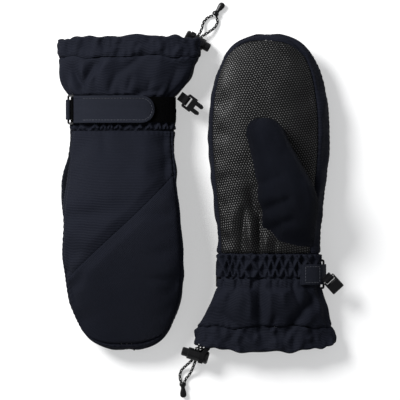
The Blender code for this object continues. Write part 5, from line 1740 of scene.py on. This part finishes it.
def lock_frame(side):
    """Centre of a cord lock, and the directions along its barrel and its bores."""
    lock = LOCKS[side]
    axis = Vector(lock["axis"]).normalized()
    bore = Vector(lock["bore"])
    bore = (bore - axis * bore.dot(axis)).normalized()
    return Vector(lock["centre"]), axis, bore


def smooth_route(knots, spacing):
    """Points along a smooth curve through the knots, about one every spacing."""
    points = []
    padded = [knots[0] * 2 - knots[1], *knots, knots[-1] * 2 - knots[-2]]
    for before, start, end, after in zip(padded, padded[1:], padded[2:], padded[3:]):
        count = max(1, round((end - start).length / spacing))
        bend = 2 * before - 5 * start + 4 * end - after
        twist = 3 * start - before - 3 * end + after
        for t in (i / count for i in range(count)):
            points.append(0.5 * (2 * start + (end - before) * t + bend * t**2 + twist * t**3))
    return points + [knots[-1]]


def cord_route(side, strand):
    """One free end's centreline, from inside the hem channel to the pull."""
    centre, axis, bore = lock_frame(side)
    offset = axis * strand * CORD_SPACING / 2
    start = [Vector(point) + offset for point in CORD_STARTS[side]]
    through = [centre + offset + bore * reach for reach in (-6.5, 0.0, 6.5)]
    end = [Vector(point) for point in CORD_ENDS[side][strand]]
    return smooth_route(start + through + end, 0.7)


def make_tube(name, place, route, radius, finish, sides=16):
    """A round or flattened rod along a route in a place's frame, with a UV in metres."""
    centres = np.array([tuple(point) for point in route])
    halves = np.broadcast_to(radius, (len(centres), 2))
    ahead = np.gradient(centres, axis=0)
    ahead /= np.linalg.norm(ahead, axis=1, keepdims=True)
    side = np.cross(ahead[0], (0.0, 0.0, 1.0))
    if np.linalg.norm(side) < 0.1:
        side = np.cross(ahead[0], (1.0, 0.0, 0.0))
    grid = np.empty((len(centres) + 4, sides + 1, 3))
    turn = np.linspace(0.0, 2.0 * math.pi, sides + 1)[:, None]
    for i, (spot, forward) in enumerate(zip(centres, ahead)):
        side = side - forward * side.dot(forward)
        side /= np.linalg.norm(side)
        up = np.cross(forward, side)
        wide, thick = halves[i]
        grid[i + 2] = spot + side * np.cos(turn) * wide + up * np.sin(turn) * thick
    for i, share in ((0, 0.0), (1, 0.75)):
        grid[i] = mix(centres[0], grid[2], share)
        grid[-1 - i] = mix(centres[-1], grid[-3], share)
    way = run_lengths(centres, 0)
    v = np.concatenate([way[:1], way[:1], way, way[-1:], way[-1:]])[:, None]
    u = np.linspace(0.0, 2.0 * math.pi * halves.max(), sides + 1)[None, :]
    u, v = np.broadcast_arrays(u, v)
    faces = grid_faces(*grid.shape[:2])[:, [0, 3, 2, 1]].tolist()
    uv = np.stack([u, v], -1).reshape(-1, 2)
    mesh = build_mesh(name, place.world(grid.reshape(-1, 3)), faces, uv)
    clean_mesh(mesh, 1e-6, False)
    thing = show(name, mesh, finish)
    shade_smooth(thing, ROD_CREASE)
    return thing


def make_pull(side, finish):
    """A moulded pull: a collar over the ends of the cord, a waist and a paddle."""
    seat = PULLS[side]
    top, out = Vector(seat["top"]), Vector(seat["out"]).normalized()
    stations, *profile = (np.array(column) for column in zip(*PULL_PROFILE))
    along = np.linspace(stations[0], stations[-1], 64)
    halves = np.stack([np.interp(along, stations, column) for column in profile], -1)
    for _ in range(4):
        halves[1:-1] = halves[:-2] * 0.25 + halves[1:-1] * 0.5 + halves[2:] * 0.25
    route = [top + out * reach for reach in along]
    return make_tube(f"{side}_cord_pull_moulded", PAIR, route, halves, finish, 32)


def make_spring(side, finish):
    """The lock's spring, a copy of its CAD coil in spring wire, hung on the mitten."""
    coil = bpy.data.objects[f"{side}_cord_lock_spring"].data.copy()
    thing = show(f"{side}_lock_spring_wire", coil, finish)
    spots = np.array([tuple(vertex.co) for vertex in thing.data.vertices])
    axis = np.array(lock_frame(side)[1])
    button = np.mean(np.array(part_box(f"{side}_cord_lock_button")), axis=0)
    if (button - spots.mean(0)) @ axis > 0.0:
        axis = -axis
    reach = spots @ axis
    seat = spots[reach.argmax()]
    attach(thing, f"{side}_mitten", "spring_steel", f"{side}_cord_lock_spring")
    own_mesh(thing)


def make_cord_tab(side, finishes):
    """A loop of tape from the hem round the barrel, near its closed end."""
    centre, axis, bore = lock_frame(side)
    up = axis.cross(bore)
    if up.z < 0.0:
        up = -up
    middle = centre + axis * TAB_STATION
    wall = TAB_TAPE_WALL
    reach = BARREL_RADIUS + CORD_GAP + wall / 2
    hem = Vector(TAB_HEMS[side])
    toward = hem - middle
    start = math.atan2(toward.dot(up), toward.dot(-bore))
    turns = [start + math.radians(a) for a in np.linspace(32.0, 328.0, 48)]
    loop = [middle + (-bore * math.cos(t) + up * math.sin(t)) * reach for t in turns]
    lift = (loop[0] - loop[-1]).normalized() * (wall / 2 + CORD_GAP / 2)
    lead_in = [(hem + lift).lerp(loop[0], share) for share in (0.0, 0.25, 0.5, 0.75)]
    lead_out = [loop[-1].lerp(hem - lift, share) for share in (0.25, 0.5, 0.75, 1.0)]
    path = np.array([tuple(point) for point in lead_in + loop + lead_out])
    across = shares(9, -1.0, 1.0)[:, None, None] * TAB_HALF_WIDTH * np.array(axis)
    grid = path[None] + across
    way = run_lengths(grid, 1)
    side_way = np.broadcast_to(shares(9, -1.0, 1.0)[:, None] * TAB_HALF_WIDTH, way.shape)
    work = Patchwork(PAIR).add(grid, np.stack([way, side_way], -1))
    return work.make(f"{side}_cord_tab_cloth", wall, finishes["webbing"], offset=0.0)


# ---- operators


FORMS = {side: Form(side) for side in SIDES}
FINISHES = {}


def attach(thing, body, slot, *nodes, padded=None):
    """Hangs a piece on its body, in place of its CAD nodes."""
    if body:
        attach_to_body(thing, body)
    if nodes:
        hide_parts(*nodes)


def dress(node, finish):
    """A better finish on a CAD node that keeps its shape."""
    thing = bpy.data.objects[node]
    for slot in thing.material_slots:
        slot.material = finish
    if not thing.material_slots:
        thing.data.materials.append(finish)


class MITTENS_OT_stage(bpy.types.Operator):
    """Sets up the camera, the lights and the floor."""

    bl_idname = "mittens.stage"
    bl_label = "Set the stage"
    bl_options = {"REGISTER", "UNDO"}

    def execute(self, context):
        make_stage(context.scene.mitten_colours)
        return {"FINISHED"}


class MITTENS_OT_finishes(bpy.types.Operator):
    """Makes the materials of both mittens."""

    bl_idname = "mittens.finishes"
    bl_label = "Make the finishes"
    bl_options = {"REGISTER", "UNDO"}

    def execute(self, context):
        scene = context.scene
        FINISHES.update(make_finishes(scene.mitten_sizes, scene.mitten_colours))
        return {"FINISHED"}


class MITTENS_OT_drawcords(bpy.types.Operator):
    """Lays the drawcords in their hems, through their locks and into their pulls."""

    bl_idname = "mittens.drawcords"
    bl_label = "Make the drawcords"
    bl_options = {"REGISTER", "UNDO"}

    def execute(self, context):
        diameter = context.scene.mitten_sizes.cord_diameter
        radius = diameter / MM / 2
        for side in SIDES:
            body = f"{side}_mitten"
            pull = make_pull(side, FINISHES["plastic"])
            attach(pull, body, "black_plastic", f"{side}_cord_pull")
            for strand, letter in ((-1, "a"), (1, "b")):
                route = cord_route(side, strand)
                name = f"{side}_cord_{letter}"
                cord = make_tube(name, PAIR, route, radius, FINISHES["cord"])
                attach(cord, body, "cord", f"{side}_cord_end_{letter}")
                path = PAIR.world([tuple(point) for point in route]).tolist()
            form = FORMS[side]
            start, end = DRAWCORD_ANGLES[side]
            sweep = np.linspace(start, end + 360.0, 260)
            hidden = form.cloth(sweep, DRAWCORD_Y, DRAWCORD_DEPTH)
            hem_cord = make_tube(f"{side}_hem_cord", form, hidden, radius, FINISHES["cord"], 12)
            attach(hem_cord, body, "cord", f"{side}_drawcord")
        return {"FINISHED"}


class MITTENS_OT_settle(bpy.types.Operator):
    """Swells each shell over its padding with a short cloth simulation."""

    bl_idname = "mittens.settle"
    bl_label = "Settle the shells"
    bl_options = {"REGISTER", "UNDO"}

    def execute(self, context):
        for form in FORMS.values():
            settle_shell(form, context.scene.mitten_sizes)
        return {"FINISHED"}


UNPADDED = {
    "wrist_casing": make_casing,
    "gauntlet_cuff": make_gauntlet,
    "hem_channel": make_hem,
}


class MITTENS_OT_shells(bpy.types.Operator):
    """Sews the palm, the backs, the side gusset, the wrist, the cuff and the hem."""

    bl_idname = "mittens.shells"
    bl_label = "Make the shells"
    bl_options = {"REGISTER", "UNDO"}

    def execute(self, context):
        sizes = context.scene.mitten_sizes
        for side, form in FORMS.items():
            body = f"{side}_mitten"
            navy = FINISHES["navy"]
            palm = make_palm(form, sizes, FINISHES["palm"])
            attach(palm, body, "palm_leather", f"{side}_palm_panel", padded=0.4)
            gusset = make_gusset(form, sizes, navy)
            attach(gusset, body, "navy_shell", f"{side}_side_gusset", padded=0.4)
            for panel, thing in zip(("hand", "finger"), make_back(form, sizes, navy)):
                attach(thing, body, "navy_shell", f"{side}_back_{panel}_panel", padded=0.5)
            for piece, make_piece in UNPADDED.items():
                attach(make_piece(form, sizes, navy), body, "navy_shell", f"{side}_{piece}")
        return {"FINISHED"}


class MITTENS_OT_layers(bpy.types.Operator):
    """Makes the wadding, the waterproof insert, the lining and the wrist elastic."""

    bl_idname = "mittens.layers"
    bl_label = "Make the inner layers"
    bl_options = {"REGISTER", "UNDO"}

    def execute(self, context):
        for side, form in FORMS.items():
            for piece, slot, thing in make_layers(form, FINISHES):
                fill = 0.5 if piece == "insulation" else None
                attach(thing, f"{side}_mitten", slot, f"{side}_{piece}", padded=fill)
        return {"FINISHED"}


class MITTENS_OT_thumbs(bpy.types.Operator):
    """Makes each thumb's shell, wadding and lining."""

    bl_idname = "mittens.thumbs"
    bl_label = "Make the thumbs"
    bl_options = {"REGISTER", "UNDO"}

    def execute(self, context):
        sizes = context.scene.mitten_sizes
        slots = {"thumb": "navy_shell", "wadding": "wadding", "fleece": "fleece"}
        for side, form in FORMS.items():
            start, end = (form.world((25.0, y, 20.0)) for y in THUMB_BEND)
            for piece, depth, wall, finish in THUMB_LAYERS:
                thing = make_thumb_layer(form, sizes, piece, depth, wall, FINISHES[finish])
                fill = 0.5 if finish != "fleece" else None
                attach(thing, None, slots[finish], f"{side}_{piece}", padded=fill)
                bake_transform(thing)
        return {"FINISHED"}


class MITTENS_OT_straps(bpy.types.Operator):
    """Makes the wrist straps, their tabs and the anchors of their rings."""

    bl_idname = "mittens.straps"
    bl_label = "Make the straps"
    bl_options = {"REGISTER", "UNDO"}

    def execute(self, context):
        sizes = context.scene.mitten_sizes
        slots = {
            "wrist_strap": "loop_pile",
            "strap_tab": "navy_trim",
            "hook_patch": "hook_tape",
            "ring_anchor": "navy_trim",
        }
        for side, form in FORMS.items():
            for piece, thing in make_straps(form, FINISHES).items():
                on_tab = piece in ("strap_tab", "hook_patch")
                body = f"{side}_tab" if on_tab else f"{side}_mitten"
                attach(thing, body, slots[piece], f"{side}_{piece}")
            for piece, lines, body in (
                ("tab_stitches", tab_stitch_lines(form), f"{side}_tab"),
                ("anchor_stitches", anchor_stitch_lines(form), f"{side}_mitten"),
            ):
                thread = make_stitches(f"{side}_{piece}", form, lines, sizes, FINISHES["thread"])
                attach(thread, body, "navy_trim")
            dress(f"{side}_slide_ring", FINISHES["plastic"])
        return {"FINISHED"}


class MITTENS_OT_clips(bpy.types.Operator):
    """Makes the tapes of the clips, and finishes their moulded halves."""

    bl_idname = "mittens.clips"
    bl_label = "Make the clips"
    bl_options = {"REGISTER", "UNDO"}

    def execute(self, context):
        for side in SIDES:
            webbing = make_clip_webbing(side, FINISHES)
            attach(webbing, f"{side}_mitten", "webbing", f"{side}_clip_webbing")
        for half in ("left_clip_plug", "right_clip_socket"):
            dress(half, FINISHES["plastic"])
        return {"FINISHED"}


class MITTENS_OT_locks(bpy.types.Operator):
    """Finishes the cord locks and makes the tapes that hold them."""

    bl_idname = "mittens.locks"
    bl_label = "Make the cord locks"
    bl_options = {"REGISTER", "UNDO"}

    def execute(self, context):
        for side in SIDES:
            tab = make_cord_tab(side, FINISHES)
            attach(tab, f"{side}_mitten", "webbing", f"{side}_cord_tab")
            for half in ("barrel", "button"):
                dress(f"{side}_cord_lock_{half}", FINISHES["plastic"])
            make_spring(side, FINISHES["steel"])
        return {"FINISHED"}


class MITTENS_PT_panel(bpy.types.Panel):
    """Sizes, colours and the steps in their order."""

    bl_idname = "MITTENS_PT_panel"
    bl_label = "Ski mittens"
    bl_space_type = "VIEW_3D"
    bl_region_type = "UI"
    bl_category = "Ski mittens"

    def draw(self, context):
        for owner in (context.scene.mitten_sizes, context.scene.mitten_colours):
            box = self.layout.box()
            for name in type(owner).__annotations__:
                box.prop(owner, name)
        for step in STEPS:
            self.layout.operator(step.bl_idname)


STEPS = (
    MITTENS_OT_stage,
    MITTENS_OT_finishes,
    MITTENS_OT_settle,
    MITTENS_OT_drawcords,
    MITTENS_OT_shells,
    MITTENS_OT_layers,
    MITTENS_OT_thumbs,
    MITTENS_OT_straps,
    MITTENS_OT_clips,
    MITTENS_OT_locks,
)
CLASSES = (MittenSizes, MittenColours, *STEPS, MITTENS_PT_panel)


# ---- stage

VIEW_CENTRE = (-0.00065, -0.00293)
CAMERA_HEIGHT = 3.0
FRAME_WIDTH = 0.400
FRAME_Z = 0.03
SENSOR = 36.0
FLOOR_LIFT = 0.42
FLOOR_SIZE, FLOOR_Z = 6.0, -0.0006
SKY_COLOUR, SKY_STRENGTH = (0.95, 0.97, 1.0, 1.0), 0.36
KEY_PLACE, KEY_POWER, KEY_SIZE = (-1.05, 0.9, 1.15), 58.0, 0.8


def add_light(name, place, target, power, size):
    lamp = bpy.data.lights.new(name, "AREA")
    lamp.energy = power
    lamp.shape = "DISK"
    lamp.size = size
    thing = bpy.data.objects.new(name, lamp)
    thing.location = place
    thing.rotation_euler = (Vector(target) - Vector(place)).to_track_quat("-Z", "Y").to_euler()
    bpy.context.scene.collection.objects.link(thing)


def make_stage(colours):
    scene = bpy.context.scene
    scene.view_settings.view_transform = "Standard"
    camera = bpy.data.cameras.new("Camera")
    camera.sensor_width = SENSOR
    camera.lens = SENSOR * (CAMERA_HEIGHT - FRAME_Z) / FRAME_WIDTH
    eye = bpy.data.objects.new("Camera", camera)
    eye.location = (*VIEW_CENTRE, CAMERA_HEIGHT)
    scene.collection.objects.link(eye)
    scene.camera = eye
    world = bpy.data.worlds.new("Studio")
    scene.world = world
    world.use_nodes = True
    tree = world.node_tree
    backdrop = tree.nodes["Background"]
    backdrop.inputs["Color"].default_value = SKY_COLOUR
    backdrop.inputs["Strength"].default_value = SKY_STRENGTH
    white = tree.nodes.new("ShaderNodeBackground")
    white.inputs["Strength"].default_value = 1.0
    paths = tree.nodes.new("ShaderNodeLightPath")
    choice = tree.nodes.new("ShaderNodeMixShader")
    tree.links.new(paths.outputs["Is Camera Ray"], choice.inputs[0])
    tree.links.new(backdrop.outputs[0], choice.inputs[1])
    tree.links.new(white.outputs[0], choice.inputs[2])
    tree.links.new(choice.outputs[0], tree.nodes["World Output"].inputs["Surface"])
    bpy.ops.mesh.primitive_plane_add(size=FLOOR_SIZE, location=(0.0, 0.0, FLOOR_Z))
    floor = bpy.context.object
    floor.name = "studio_floor"
    paint = Finish("Studio floor", roughness=0.9)
    paint.set(paint.shader, "Specular IOR Level", 0.0)
    dust = paint.noise(paint.place("Object"), 3.0, 2.0)
    shade = paint.tint(paint.sum("MULTIPLY", dust, 0.02), tuple(colours.floor), (0.58, 0.58, 0.59))
    paths = paint.tree.nodes.new("ShaderNodeLightPath").outputs
    seen = paint.sum("MAXIMUM", paths["Is Camera Ray"], paths["Is Glossy Ray"])
    seen = paint.sum("MAXIMUM", seen, paths["Is Transmission Ray"])
    paper = paint.tint(seen, shade, (1.0, 1.0, 1.0))
    lift = paint.node("ShaderNodeEmission", {"Strength": 1.0})
    paint.finish(base_color=paper)
    share = paint.sum("MULTIPLY", seen, FLOOR_LIFT)
    lit = paint.node("ShaderNodeMixShader", {0: share, 1: paint.shader.outputs[0], 2: lift})
    paint.set(paint.tree.nodes["Material Output"], "Surface", lit)
    floor.data.materials.append(paint.material)
    add_light("Key", KEY_PLACE, (0.0, 0.0, 0.0), KEY_POWER, KEY_SIZE)


# ---- run


def register():
    for entry in CLASSES:
        bpy.utils.register_class(entry)
    bpy.types.Scene.mitten_sizes = PointerProperty(type=MittenSizes)
    bpy.types.Scene.mitten_colours = PointerProperty(type=MittenColours)


def unregister():
    del bpy.types.Scene.mitten_colours
    del bpy.types.Scene.mitten_sizes
    for entry in reversed(CLASSES):
        bpy.utils.unregister_class(entry)


def main():
    register()
    bpy.ops.mittens.stage()
    bpy.ops.mittens.finishes()
    bpy.ops.mittens.settle()
    bpy.ops.mittens.drawcords()
    bpy.ops.mittens.shells()
    bpy.ops.mittens.layers()
    bpy.ops.mittens.thumbs()
    bpy.ops.mittens.straps()
    bpy.ops.mittens.clips()
    bpy.ops.mittens.locks()


if __name__ == "__main__":
    main()
